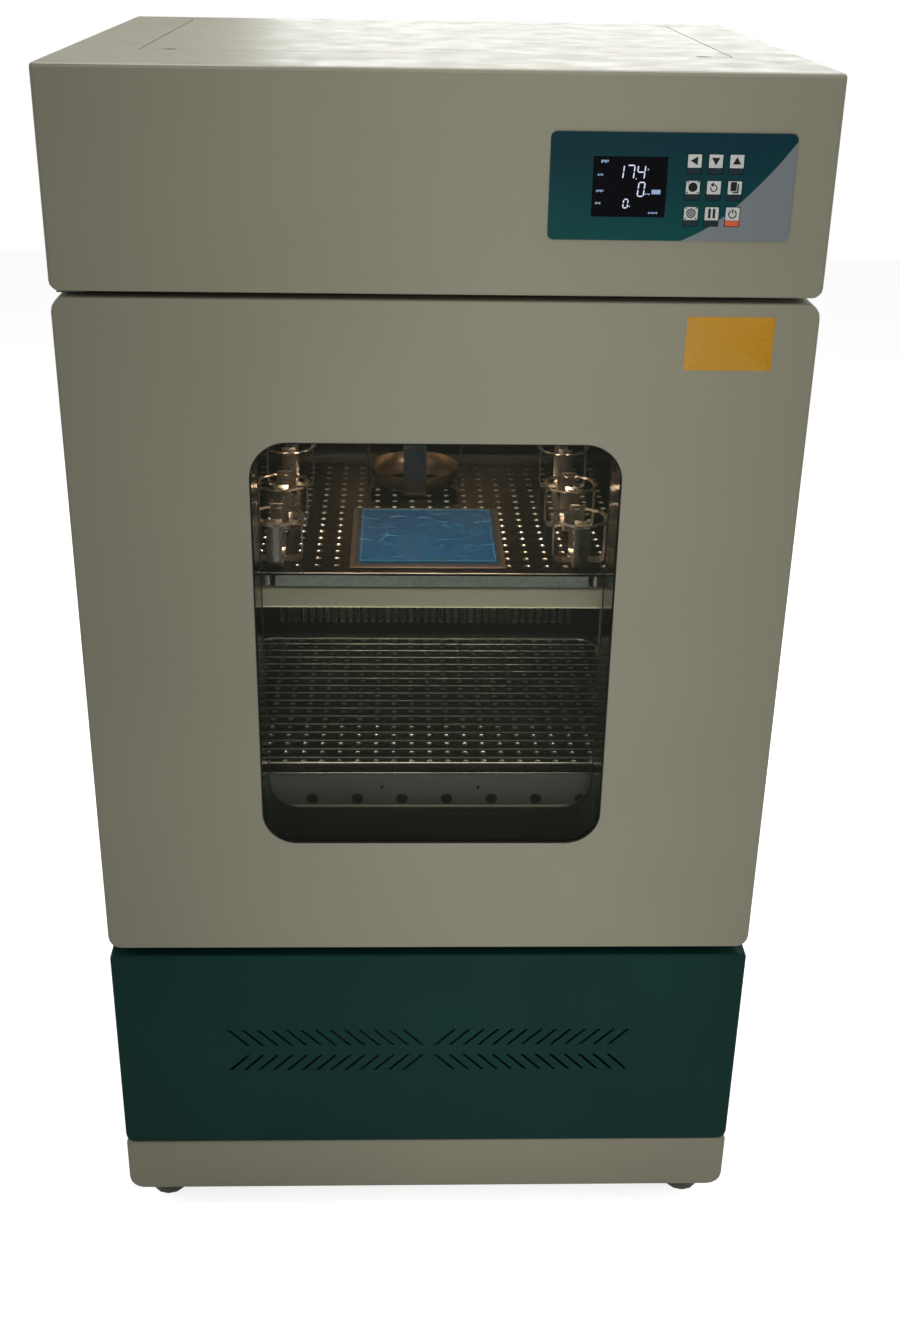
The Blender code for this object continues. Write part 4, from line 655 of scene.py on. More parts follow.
def rounded_outline(left: float, bottom: float, right: float, top: float, radius: float | Sequence[float],
                    steps: int = 6) -> Array:
    """A rectangle whose corners are arcs, as a loop that starts at the lower left.

    Args:
        left: Lowest first coordinate.
        bottom: Lowest second coordinate.
        right: Highest first coordinate.
        top: Highest second coordinate.
        radius: One radius, or four in order from the lower left round.
        steps: Steps in each corner.

    Returns:
        The loop, with the same number of points whatever its size.
    """
    radii = [radius] * 4 if isinstance(radius, (int, float)) else list(radius)
    corners = ((left, bottom, 1, 1, 180), (right, bottom, -1, 1, 270), (right, top, -1, -1, 0),
               (left, top, 1, -1, 90))
    loop = []
    for (x, y, inward_x, inward_y, start), r in zip(corners, radii):
        angles = np.radians(np.linspace(start, start + 90, steps + 1))
        middle_x, middle_y = x + inward_x * r, y + inward_y * r
        loop.append(np.column_stack([middle_x + r * np.cos(angles), middle_y + r * np.sin(angles)]))
    return np.vstack(loop)


def dressed(name: str, mesh: bpy.types.Mesh, finishes: Sequence[Finish],
            smooth: float = 35.0) -> bpy.types.Object:
    """Close a mesh, turn it outwards, give it its finishes and link it.

    Args:
        name: The piece's name.
        mesh: The mesh, in world coordinates.
        finishes: One finish for each slot.
        smooth: Edges sharper than this many degrees stay sharp.

    Returns:
        The new object.
    """
    bm = bmesh.new()
    bm.from_mesh(mesh)
    bmesh.ops.remove_doubles(bm, verts=bm.verts, dist=1e-7)
    bmesh.ops.recalc_face_normals(bm, faces=bm.faces)
    bm.to_mesh(mesh)
    bm.free()
    for choice in finishes:
        mesh.materials.append(finish(choice))
    mesh.shade_smooth()
    mesh.set_sharp_from_angle(angle=math.radians(smooth))
    obj = bpy.data.objects.new(name, mesh)
    bpy.context.scene.collection.objects.link(obj)
    return obj


def settle(obj: bpy.types.Object, body: str, slot: str, *nodes: str) -> None:
    """Make a piece ride on a body and stand for CAD nodes.

    Args:
        obj: The piece.
        body: The body it moves with.
        slot: The record's material slot; not used.
        nodes: The CAD nodes it replaces.
    """
    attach(obj, body)
    if nodes:
        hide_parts(*nodes)
    LOG.info("%s rides on %s, %d faces", obj.name, body, len(obj.data.polygons))


def paint(choice: Finish, *nodes: str) -> None:
    """Give CAD nodes that stay a better material."""
    for name in nodes:
        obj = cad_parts[name]
        for holder in obj.material_slots:
            holder.material = finish(choice)
        LOG.info("%s is finished in %s", name, choice.name.lower())


# Sub-assemblies


@dataclass(frozen=True)
class Levels:
    """Depths and heights that the sub-assemblies share."""

    face: float = -0.338
    door_back: float = -0.280
    chamber_half: float = 0.318
    chamber_bottom: float = 0.4550
    chamber_top: float = 1.155
    duct_front: float = 0.2268
    rack_y: float = -0.010
    rack_front: float = -0.215
    upper_platform: float = 0.854
    lower_platform: float = 0.590


AT = Levels()


@dataclass
class Rack:
    """The painted tube rack, its two perforated platforms and all that stands on them."""

    hole_pitch: float = 22.6 * MM
    hole_radius: float = 2.9 * MM
    columns: int = 21
    rows: int = 17
    sheet: float = 3.0 * MM
    width: float = 0.500
    depth: float = 0.410
    lip: float = 17.0 * MM
    apron_z: float = 0.549
    apron_shift: float = 21.0 * MM
    tube: float = 25.0 * MM
    post_x: float = 0.2635
    standoff_x: float = 0.196
    small_clamps: tuple[tuple[float, float], ...] = (
        (0.175, -0.170), (0.175, -0.050), (0.180, 0.100), (-0.185, -0.170), (-0.185, -0.050), (-0.185, 0.100))
    large_clamp: tuple[float, float] = (-0.019, 0.110)
    tray: tuple[float, float] = (0.185, 0.205)
    tray_centre: tuple[float, float] = (-0.005, -0.098)
    mat: tuple[float, float] = (0.165, 0.180)

    def make(self) -> None:
        """Model and dress the whole rack."""
        self.tubes()
        self.upper_platform()
        self.lower_platform()
        self.clamps()
        self.wires()
        self.sticky_mat()

    def platform(self, skin: Skin, top: float) -> None:
        """Lay one perforated sheet at a height."""
        place = Matrix.Translation((0.0, AT.rack_y, top))
        pitch = (self.hole_pitch, self.hole_pitch)
        whole = (self.width, self.depth)
        # The holes' rims and walls take the bright steel of slot 1: painted highlight crescents on the dark
        # sheet
        skin.perforated(self.columns, self.rows, pitch, self.hole_radius, self.sheet, place, whole,
                        0.7 * MM, rim_slot=1)

    def upper_platform(self) -> None:
        """Perforated sheet whose front lip, pale as a painted reflection, drops between the standoffs."""
        skin = Skin()
        self.platform(skin, AT.upper_platform)
        wide = self.standoff_x - 0.012
        y, z = AT.rack_front + 1.6 * MM, AT.upper_platform - 0.6 * MM
        middle = z - self.lip / 2
        # The lip's pale tone is painted reflection
        skin.bar((-wide, y, middle), (wide, y, middle), 1.5 * MM, self.lip, 0.6 * MM, slot=2)
        half, y = self.width / 2 - MM, AT.rack_front + MM
        # A bright steel strip along the sheet's front edge: painted highlight of its lit edge
        skin.bar((-half, y, z), (half, y, z), 2 * MM, 1.8 * MM, 0.7 * MM, slot=1)
        obj = skin.build("upper_platform_look", [Finish.PLATFORM, Finish.SPRING_AND_HIGHLIGHT, Finish.LIP])
        settle(obj, "rack", "stainless", "upper_platform")

    def lower_platform(self) -> None:
        """Perforated sheet, and its front apron with seven round openings, two screws and a pale fold; the
        openings' black rims and walls and a black sheet behind them are painted shade, and the fold's pale
        tone is painted highlight.
        """
        skin = Skin()
        self.platform(skin, AT.lower_platform)
        half, y = self.width / 2 - MM, AT.rack_front + 0.4 * MM
        tall = 0.026
        top, join = AT.lower_platform - 1.0 * MM, self.apron_z + tall / 2
        # A bright steel strip along the sheet's front edge: painted highlight of its lit edge
        skin.bar((-half, y, top - 3 * MM), (half, y, top - 3 * MM), 2 * MM, 2.4 * MM, 0.8 * MM, slot=1)
        obj = skin.build("lower_platform_look", [Finish.PLATFORM, Finish.SPRING_AND_HIGHLIGHT])
        settle(obj, "rack", "stainless", "lower_platform")
        skin = Skin()
        stand = Matrix.Translation((self.apron_shift, y, self.apron_z)) @ Matrix.Rotation(math.pi / 2, 4, "X")
        whole = (2 * (half - self.apron_shift), tall)
        # The openings' rims and walls are black enamel: painted shade inside them
        skin.perforated(7, 1, (0.056, 0.022), 7.0 * MM, 1.5 * MM, stand, whole, rim_slot=1)
        skin.box((-half, y, join), (half, y + 1.5 * MM, top))
        skin.box((-half, y, self.apron_z - tall / 2), (2 * self.apron_shift - half, y + 1.5 * MM, join))
        # A black sheet behind the openings: painted shade that keeps them dark
        skin.box((-half + 0.05, y + 3 * MM, self.apron_z - 0.010), (half - 0.02, y + 4 * MM, join), slot=1)
        for x in (-0.060, 0.060):
            head = Matrix.Translation((x, y - 0.2 * MM, 0.566))
            skin.turned(screw_profile(2.4 * MM), head @ Matrix.Rotation(math.pi / 2, 4, "X"), 16, slot=1)
        # The fold's pale paint is a painted highlight where the flange catches the light
        fold = self.apron_z - 14.5 * MM
        skin.bar((-half, y - 0.6 * MM, fold), (half, y - 0.6 * MM, fold), 2 * MM, 12 * MM, 0.8 * MM, slot=2)
        obj = skin.build("lower_apron", [Finish.CORE, Finish.ENAMEL, Finish.RACK_PAINT])
        settle(obj, "rack", "stainless")

    def tubes(self) -> None:
        """Square tubes with rounded edges: posts, upper and lower rails, and the plate over the cranks."""
        skin = Skin()
        half = self.tube / 2
        reach_x, reach_y = self.post_x + half, self.depth / 2 - 2 * MM
        near, far = AT.rack_y - reach_y, AT.rack_y + reach_y
        upper, lower = 0.8335 - half, 0.5867 - half
        plate_low, plate_high = 0.4874, 0.4954
        skin.box((-reach_x, near, plate_low), (reach_x, far, plate_high), radius=2 * MM)
        for y in (near + half, far - half):
            for z in (upper, lower):
                skin.bar((-reach_x, y, z), (reach_x, y, z), self.tube, self.tube, 3 * MM)
            for x in (-self.post_x, self.post_x):
                foot, head = (x, y, plate_high - MM), (x, y, lower - half + MM)
                skin.bar(foot, head, 17 * MM, 17 * MM, 2 * MM, up=(0, 1, 0))
            for x in (-self.standoff_x, self.standoff_x):
                rise = Matrix.Translation((x, y, upper + half - MM))
                skin.turned([(0, 0), (8 * MM, 0), (8 * MM, 17.4 * MM), (0, 17.4 * MM)], rise, 20, slot=1)
        post_y = self.depth / 2 - 0.040
        for x in (-self.post_x, self.post_x):
            for y in (AT.rack_y - post_y, AT.rack_y + post_y):
                skin.bar((x, y, plate_high - MM), (x, y, upper), self.tube, self.tube, 3 * MM, up=(0, 1, 0))
            skin.bar((x, near, upper), (x, far, upper), self.tube, self.tube, 3 * MM)
        obj = skin.build("rack_tubes", [Finish.RACK_PAINT, Finish.SPRING_AND_HIGHLIGHT])
        settle(obj, "rack", "body_paint", "rack_frame")

    def clamps(self) -> None:
        """Six small spring clamps on the upper platform, and the large clamp behind the mat."""
        skin = Skin()
        for x, y in self.small_clamps:
            flask_clamp(skin, (x, y, AT.upper_platform), 30 * MM, 60 * MM, 18 * MM)
        obj = skin.build("small_clamps", [Finish.SPRING_AND_HIGHLIGHT, Finish.SPRING_AND_HIGHLIGHT])
        settle(obj, "rack", "stainless")
        skin = Skin()
        x, y = self.large_clamp
        flask_clamp(skin, (x, y, AT.upper_platform), 62 * MM, 120 * MM, 30 * MM)
        seat = Matrix.Translation((x, y, AT.upper_platform + 1.2 * MM))
        skin.turned(bowl_profile(40 * MM, 60 * MM, 24 * MM), seat, 48, slot=2, closed=True)
        obj = skin.build("large_clamp_look", [Finish.STAINLESS, Finish.SPRING_AND_HIGHLIGHT, Finish.PETAL])
        settle(obj, "rack", "stainless", "large_clamp")

    def wires(self) -> None:
        """Spring wires strung over the lower platform, in a frame with rounded corners and four feet."""
        skin = Skin()
        z = AT.lower_platform + 6 * MM
        wide, front, back = self.width / 2 - 4 * MM, AT.rack_y - self.depth / 2 + 8 * MM, 0.165
        loop = at_height(rounded_outline(-wide, front, wide, back, 30 * MM, 8), z)
        stub = [(0, 0), (4 * MM, 0), (4 * MM, MM), (2.5 * MM, 2 * MM), (2.5 * MM, 6 * MM), (0, 6 * MM)]
        skin.tube(loop, 1.6 * MM, 10, closed=True)
        for i in range(16):
            y = AT.rack_y + self.hole_pitch * (i - 8) - 2 * MM
            skin.tube(np.array([[-wide, y, z], [wide, y, z]]), 0.75 * MM, 8)
        for x in (-wide, wide):
            for y in (front + 30 * MM, back - 30 * MM):
                foot = Matrix.Translation((x, y, AT.lower_platform + 0.3 * MM))
                skin.turned(stub, foot, 16)
        obj = skin.build("spring_wires", [Finish.WIRE])
        settle(obj, "rack", "stainless", "spring_rack")

    def sticky_mat(self) -> None:
        """A flat tray, the blue mat on it, and the clear film over the mat, puckered at its edges."""
        x, y = self.tray_centre
        low = AT.upper_platform + 0.3 * MM
        skin = Skin()
        wide, deep = self.tray[0] / 2, self.tray[1] / 2
        skin.box((x - wide, y - deep, low), (x + wide, y + deep, low + 1.5 * MM), radius=0.5 * MM)
        settle(skin.build("mat_tray_look", [Finish.TRAY]), "rack", "stainless", "mat_tray")
        base = low + 1.8 * MM
        sheets = (("blue_mat", 0.0, 1.4 * MM, Finish.MAT), ("clear_film", 4 * MM, 2.4 * MM, Finish.FILM))
        for name, margin, height, choice in sheets:
            skin = Skin()
            wide, deep = self.mat[0] / 2 + margin, self.mat[1] / 2 + margin
            rise = self.film_height(wide, deep, x, y, margin > 0)
            top = np.stack([rise[0], rise[1], base + height + rise[2]], -1)
            if margin:
                skin.grid(top)
                self.crease_glints(skin, top)
                settle(skin.build(name, [choice, Finish.CREASE_GLINT], 60.0), "rack", "mat_blue")
                continue
            bottom = top.copy()
            bottom[..., 2] = base
            skin.grid(top)
            skin.grid(bottom)
            walls = ((top[0], bottom[0]), (top[-1], bottom[-1]), (top[:, 0], bottom[:, 0]),
                     (top[:, -1], bottom[:, -1]))
            for edge, under in walls:
                skin.grid(np.stack([edge, under]))
            settle(skin.build(name, [choice], 60.0), "rack", "mat_blue", "tacky_mat")

    def crease_glints(self, skin: Skin, top: Array) -> None:
        """Press thin creases along the film, pale as painted highlight for its glints: short seeded walks and
        a ridge round its rim.

        Args:
            skin: The film.
            top: Its grid of points.
        """
        chance = np.random.default_rng(7)
        last = np.array(top.shape[:2]) - 1
        for _ in range(34):
            spot, heading = chance.uniform(0.08, 0.92, 2) * last, chance.uniform(0, 2 * math.pi)
            path = []
            for _ in range(int(chance.integers(5, 12))):
                heading += chance.normal(0.0, 0.35)
                spot = np.clip(spot + 1.6 * np.array([math.sin(heading), math.cos(heading)]), 2, last - 2)
                path.append(top[tuple(spot.astype(int))] + np.array([0.0, 0.0, 0.1 * MM]))
            # Each crease is a thin raised ridge whose pale colour is a painted glint
            skin.tube(np.array(path), chance.uniform(0.20, 0.50) * MM, 5, slot=1)
        inset = 3
        rim = np.concatenate([top[inset, inset:-inset], top[inset:-inset, -inset - 1],
                              top[-inset - 1, inset:-inset][::-1], top[inset:-inset, inset][::-1]])
        skin.tube(rim[::3] + np.array([0.0, 0.0, 0.1 * MM]), 0.5 * MM, 5, slot=1)

    def film_height(self, wide: float, deep: float, x: float, y: float,
                    loose: bool) -> tuple[Array, Array, Array]:
        """Give the mat's ripples: broad sine folds, dents over the holes and, on loose film, a rolled rim.

        Args:
            wide: Half width.
            deep: Half depth.
            x: Middle across.
            y: Middle in depth.
            loose: Whether the sheet puckers at its rim.

        Returns:
            Grids of x, y and extra height.
        """
        across, along = np.meshgrid(np.linspace(-wide, wide, 81), np.linspace(-deep, deep, 89))
        wave = 0.25 * np.sin(across / 0.031 + 2.1 * np.sin(along / 0.027))
        fold = wave + 0.2 * np.sin(along / 0.017 + across / 0.06)
        column = np.cos(np.pi * (x + across) / self.hole_pitch) ** 2
        row = np.cos(np.pi * (y + along - AT.rack_y) / self.hole_pitch) ** 2
        dents = column * row
        height = 0.4 * fold * MM - 0.5 * MM * dents**6
        if loose:
            rim = np.minimum(wide - np.abs(across), deep - np.abs(along))
            crease = np.sin(across / 0.0041) * np.sin(along / 0.0053 + 3 * np.sin(across / 0.02))
            height = height + np.exp(-((rim - 3 * MM) / (2.2 * MM)) ** 2) * (1.2 + 0.7 * crease) * MM
            # Each family of sharp crinkles: how much it leans, its pitch in metres and how far it bends
            crinkles = ((0.4, 0.047, 0.9), (-0.8, 0.061, 1.3), (1.9, 0.083, 0.7), (-2.2, 0.071, 1.7))
            for lean, pitch, bend in crinkles:
                run = (across + lean * along) / pitch + bend * np.sin(along / 0.023 + lean) * 0.4
                crest = np.maximum(0.0, 1 - np.abs(np.sin(run)) * 9)
                fade = 0.5 + 0.5 * np.sin(along / 0.019 + bend * 5)
                height = height + 0.55 * MM * crest * fade
        return x + across, y + along, height


def screw_profile(radius: float) -> list[tuple[float, float]]:
    """A pan head with a shallow recess, from the middle of its face to its underside."""
    return [(0.0, 0.55 * radius), (radius * 0.35, 0.55 * radius), (radius * 0.42, 0.8 * radius),
            (radius * 0.8, 0.7 * radius), (radius, 0.35 * radius), (radius, 0.0), (0.0, 0.0)]


def bowl_profile(low: float, high: float, rise: float) -> list[tuple[float, float]]:
    """The section of a thin flared band, as a closed loop."""
    steps = np.linspace(0.0, 1.0, 7)
    radius = low + (high - low) * np.sin(steps * np.pi / 2)
    height = rise * (1 - np.cos(steps * np.pi / 2))
    outer = list(zip(radius, height))
    return outer + [(r - MM, z + 0.6 * MM) for r, z in reversed(outer)]


def flask_clamp(skin: Skin, base: Point, radius: float, height: float, strap: float) -> None:
    """Add a spring-steel flask clamp: crossed feet that turn up into four fingers and a sprung ring.

    A finger's centre line runs out along the foot, round a small bend, up with a slight outward bow
    and in at its tip.

    Args:
        skin: The piece that takes it.
        base: Middle of its foot.
        radius: Radius of the flask that it holds.
        height: Height of the fingers.
        strap: Width of the fingers.
    """
    x, y, z = base
    bend = 5 * MM
    out = [(0.0, 0.9 * MM), (radius - bend, 0.9 * MM)]
    out += [(radius - bend + bend * math.sin(a), 0.9 * MM + bend - bend * math.cos(a))
            for a in (0.5, 1.0, 1.5)]
    rise = np.linspace(bend + 2 * MM, height - 3 * MM, 7)
    out += [(radius + 0.6 * MM * math.sin(math.pi * t / height), t) for t in rise]
    out.append((radius - 2.5 * MM, height))
    profile = rounded_outline(-strap / 2, -0.5 * MM, strap / 2, 0.5 * MM, 0.4 * MM, 2)
    for turn in range(4):
        angle = turn * math.pi / 2
        along = np.array([math.cos(angle), math.sin(angle), 0.0])
        path = np.array([base]) + np.array([r * along + np.array([0.0, 0.0, h]) for r, h in out])
        across = np.array([-math.sin(angle), math.cos(angle), 0.0])
        ribbon(skin, path, across, profile)
    sides, waves, swell = 80, 10, 0.03
    around = np.arange(sides) / sides * 2 * np.pi
    bulge = 1 + swell * np.cos(around * waves)
    ring = np.column_stack([
        x + (radius + 2.0 * MM) * bulge * np.cos(around),
        y + (radius + 2.0 * MM) * bulge * np.sin(around),
        np.full(sides, z + height * 0.9),
    ])
    skin.tube(ring, 2.0 * MM, 8, closed=True, slot=1)


def ribbon(skin: Skin, path: Array, across: Array, profile: Array) -> None:
    """Carry a flat profile along a path that stays in the plane square to one direction.

    Args:
        skin: The piece that takes it.
        path: Points as rows.
        across: The direction of the profile's first axis.
        profile: Outline with its width along that direction.
    """
    ahead = np.vstack([path[1:], 2 * path[-1] - path[-2]]) - path
    behind = path - np.vstack([2 * path[0] - path[1], path[:-1]])
    along = unit(unit(ahead) + unit(behind))
    lift = np.cross(along, across)
    points = path[:, None] + profile[None, :, :1] * across + profile[None, :, 1:] * lift[:, None]
    skin.rings(points)


@dataclass
class Chamber:
    """The stainless chamber, the slotted duct panel, the fan behind its guard and the ceiling lamp."""

    slots: int = 35
    slot_pitch: float = 11.0 * MM
    slot_width: float = 4.0 * MM
    slot_z: float = 0.767
    low_slots: int = 39
    low_slot_z: float = 0.610
    low_pitch: float = 11.2 * MM
    strip: float = 0.050
    intake_cell: float = 0.16
    slot_length: float = 30.0 * MM
    half: float = 0.3162
    low: float = 0.4568
    high: float = 1.1532
    fan_z: float = 0.980
    intake: float = 55.0 * MM

    def make(self) -> None:
        """Model and dress the chamber."""
        paint(Finish.LINER, "chamber_liner")
        paint(Finish.CORE, "insulated_body")
        paint(Finish.ZINC, "evaporator")
        paint(Finish.ENAMEL, "fan_motor")
        paint(Finish.NYLON, "circulation_fan")
        self.duct()
        self.ceiling_lamp()

    def duct(self) -> None:
        """Duct panel with its two rows of slots and round intake, and the wire guard over the intake."""
        skin = Skin()
        y, sheet = AT.duct_front, 1.5 * MM

        def facing(z: float) -> Matrix:
            """Stand a sheet upright at a height, its face towards the door."""
            return Matrix.Translation((0.0, y, z)) @ Matrix.Rotation(math.pi / 2, 4, "X")

        strip = self.strip
        tall = 2 * (self.high - self.fan_z)
        bands = [self.low]
        rows = ((self.low_slots, self.low_pitch, self.low_slot_z), (self.slots, self.slot_pitch, self.slot_z))
        for count, pitch, middle in rows:
            # The slots' rims and walls take the bright steel of slot 1: painted highlights at their lips
            skin.perforated(count, 1, (pitch, strip - 4 * MM), self.slot_width / 2, sheet, facing(middle),
                            (2 * self.half, strip), 0.8 * MM, self.slot_length - self.slot_width, 1)
            bands += [middle - strip / 2, middle + strip / 2]
        bands.append(self.fan_z - tall / 2)
        cell = (self.intake_cell, self.intake_cell)
        whole = (2 * self.half, tall)
        skin.perforated(1, 1, cell, self.intake, sheet, facing(self.fan_z), whole, 0.3 * MM)
        for low, high in zip(bands[::2], bands[1::2]):
            skin.box((-self.half, y, low), (self.half, y + sheet, high))
        for radius in (12, 22, 32, 42, 52, 60):
            loop = at_depth(circle_outline(radius * MM, 40, (0.0, self.fan_z)), y - 2 * MM)
            skin.sweep(loop, circle_outline(0.9 * MM, 6), closed=True, slot=1, up=(0, 1, 0))
        for turn in range(4):
            angle = math.pi / 4 + turn * math.pi / 2
            ends = [(r * MM * math.cos(angle), y - 1.2 * MM, self.fan_z + r * MM * math.sin(angle))
                    for r in (10, 62)]
            skin.tube(np.array(ends), 1.0 * MM, 6, slot=1)
        settle(skin.build("duct_front", [Finish.LINER, Finish.SPRING_AND_HIGHLIGHT]), "cabinet", "stainless", "duct_panel")

    def ceiling_lamp(self) -> None:
        """A slim lamp under the ceiling near the door, its lens faintly ribbed."""
        skin = Skin()
        y, z = -0.235, AT.chamber_top - 1.6 * MM
        skin.bar((-0.17, y, z - 5 * MM), (0.17, y, z - 5 * MM), 26 * MM, 10 * MM, 2 * MM)
        ribs = np.linspace(-0.155, 0.155, 63)
        section = [(-9.0, -9.6), (-6.0, -12.4), (0.0, -13.4), (6.0, -12.4), (9.0, -9.6)]
        points = np.array([[[x, y + u * MM, z + (v + 0.25 * (i % 2)) * MM] for u, v in section]
                           for i, x in enumerate(ribs)])
        skin.grid(points, slot=1)
        settle(skin.build("ceiling_lamp", [Finish.NYLON, Finish.LAMP]), "cabinet", "black_plastic")


@dataclass
class Undercarriage:
    """Soft-shouldered tyres on the four casters and the smooth drawn shell of the compressor."""

    tyre: tuple[tuple[float, float], ...] = (
        (5.0, -8.0), (15.5, -8.0), (17.0, -9.6), (22.0, -9.6), (24.2, -8.4), (24.9, -6.0),
        (24.9, 6.0), (24.2, 8.4), (22.0, 9.6), (17.0, 9.6), (15.5, 8.0), (5.0, 8.0))
    shell: tuple[tuple[float, float], ...] = (
        (0.0, 108.2), (82.2, 108.2), (82.2, 119.4), (80.5, 120.4), (75.5, 122.2), (73.4, 126.0),
        (73.2, 190.0), (74.8, 191.5), (74.8, 196.5), (73.2, 198.0), (73.0, 246.0), (70.0, 262.0),
        (61.0, 276.0), (44.0, 284.5), (22.0, 287.4), (0.0, 287.8))
    shell_place: Point = (-0.220, 0.160, 0.0)

    def make(self) -> None:
        """Model and dress the wheels and the compressor's shell."""
        for number in range(1, 5):
            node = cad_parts[f"caster_wheel_{number}"]
            corners = np.array([node.matrix_world @ vector for vector in map(Vector, node.bound_box)])
            place = Matrix.Translation(corners.mean(0).tolist()) @ Matrix.Rotation(math.pi / 2, 4, "Y")
            skin = Skin()
            skin.turned([(r * MM, h * MM) for r, h in self.tyre], place, 40, closed=True)
            obj = skin.build(f"tyre_{number}", [Finish.TYRE])
            settle(obj, f"wheel_{number}", "caster_tyre", f"caster_wheel_{number}")
        skin = Skin()
        skin.turned([(r * MM, h * MM) for r, h in self.shell], Matrix.Translation(self.shell_place), 64)
        settle(skin.build("compressor_shell", [Finish.ENAMEL]), "cabinet", "machine_black", "compressor")


@dataclass
class ControlPanel:
    """The printed overlay with its display and nine sprung keys."""

    display_left: float = 0.1495
    display_top: float = 1.3435
    display_face: float = -0.3392
    key_left: float = 0.2410
    key_top: float = 1.3470
    key_width: float = 14.5 * MM
    key_height: float = 19.0 * MM
    pitch_x: float = 20.7 * MM
    pitch_z: float = 25.0 * MM
    white_height: float = 13.0 * MM
    film_face: float = -0.33985
    film_back: float = -0.3395

    def make(self) -> None:
        """Dress the overlay, light the display and model the keys."""
        paint(Finish.OVERLAY, "control_panel")
        paint(Finish.LENS, "display")
        paint(Finish.BOARD, "control_board")
        self.digits()
        for number in range(9):
            self.key(number)

    def digits(self) -> None:
        """Seven-segment numbers and small marks, a quarter of a millimetre proud of the lens."""
        skin = Skin()
        rows = (("17.4", 52.0, 8.1, 12.6, 9.0), ("0", 52.0, 24.1, 13.2, 7.6), ("0", 36.4, 40.4, 8.2, 5.6))
        for text, right, top, tall, wide in rows:
            x = right
            for mark in reversed(text):
                if mark == ".":
                    self.bar(skin, x + 0.4, top + tall - 0.4, 0.9, 0.9)
                    continue
                x -= wide
                self.digit(skin, mark, x, top, wide * 0.78, tall)
                x -= wide * 0.16
        self.bar(skin, 58.4, 31.0, 8.8, 4.2, 1)
        # Each group of small marks: its left side, top, count and height
        groups = ((7.4, 3.2, 4, 2.8), (4.6, 16.4, 3, 1.8), (3.9, 31.6, 4, 2.2), (3.4, 43.4, 3, 2.0),
                  (56.4, 52.4, 5, 1.8), (51.6, 34.6, 3, 1.4), (53.2, 11.0, 1, 1.6), (36.6, 46.4, 1, 1.4))
        for left, top, count, tall in groups:
            for i in range(count):
                self.bar(skin, left + 1.9 * i, top, 1.3, tall * (0.7 if i % 2 else 1.0), 1)
        obj = skin.build("display_numbers", [Finish.LIT, Finish.LIT_SOFT])
        settle(obj, "cabinet", "display_glass")

    def bar(self, skin: Skin, left: float, top: float, wide: float, tall: float, slot: int = 0) -> None:
        """Add one small lit bar, placed in millimetres from the display's upper left corner."""
        x, z = self.display_left + left * MM, self.display_top - top * MM
        outline = rounded_outline(x, z - tall * MM, x + wide * MM, z, 0.2 * MM, 2)
        stamp(skin, outline, self.display_face - 0.25 * MM, self.display_face, slot)

    def digit(self, skin: Skin, mark: str, left: float, top: float, wide: float, tall: float) -> None:
        """Add one seven-segment digit whose strokes are slim hexagons leaning a little to the right.

        Args:
            skin: The piece that takes it.
            mark: The digit.
            left: Its left side in millimetres from the display's.
            top: Its top in millimetres below the display's.
            wide: Its width.
            tall: Its height.
        """
        lit = {"0": "abcdef", "1": "bc", "4": "bcfg", "7": "abc"}[mark]
        half, thick = tall / 2, 0.55
        lines = {"a": ((0, 0), (wide, 0)), "b": ((wide, 0), (wide, half)), "c": ((wide, half), (wide, tall)),
                 "d": ((0, tall), (wide, tall)), "e": ((0, half), (0, tall)), "f": ((0, 0), (0, half)),
                 "g": ((0, half), (wide, half))}
        for name in lit:
            start, end = np.array(lines[name], float)
            along = (end - start) / np.linalg.norm(end - start)
            side = np.array([-along[1], along[0]]) * thick
            start, end = start + along * 0.35, end - along * 0.35
            tips = [start, start + along * thick + side, end - along * thick + side, end,
                    end - along * thick - side, start + along * thick - side]
            loop = np.array([[left + p[0] + 0.09 * (tall - p[1]), top + p[1]] for p in tips])
            x, z = self.display_left + loop[:, 0] * MM, self.display_top - loop[:, 1] * MM
            stamp(skin, np.column_stack([x, z]), self.display_face - 0.25 * MM, self.display_face)

    def key(self, number: int) -> None:
        """Model one key: a dark cap, its white field with a printed mark, and the label strip under it."""
        row, column = divmod(number, 3)
        left = self.key_left + self.pitch_x * column
        top = self.key_top - self.pitch_z * row
        right, bottom = left + self.key_width, top - self.key_height
        skin = Skin()
        inset, near, far = 0.1 * MM, -0.33960, -0.3374
        cap = []
        for ease, y in ((0.0, far), (0.0, near + 0.2 * MM), (0.2 * MM, near)):
            loop = rounded_outline(left + inset + ease, bottom + inset + ease, right - inset - ease,
                                   top - inset - ease, 0.9 * MM, 4)
            cap.append(at_depth(loop, y))
        skin.rings(np.stack(cap))
        field_low = top - self.white_height
        outline = rounded_outline(left + 0.5 * MM, field_low, right - 0.5 * MM, top - 0.5 * MM, 0.6 * MM, 3)
        stamp(skin, outline, self.film_face, self.film_back, 1)
        if number == 8:
            low, high = bottom + 0.4 * MM, field_low - 0.3 * MM
            strip = rounded_outline(left + 0.5 * MM, low, right - 0.5 * MM, high, 0.5 * MM, 3)
            stamp(skin, strip, self.film_face, self.film_back, 2)
        centre = ((left + right) / 2, (top + field_low) / 2)
        self.mark(skin, number, centre)
        looks = [Finish.LABEL_STRIP, Finish.KEY, Finish.KEY_ORANGE, Finish.ICON]
        obj = skin.build(f"key_{number + 1}_look", looks)
        settle(obj, f"key_{number + 1}_cap", "key_film", f"key_{number + 1}")

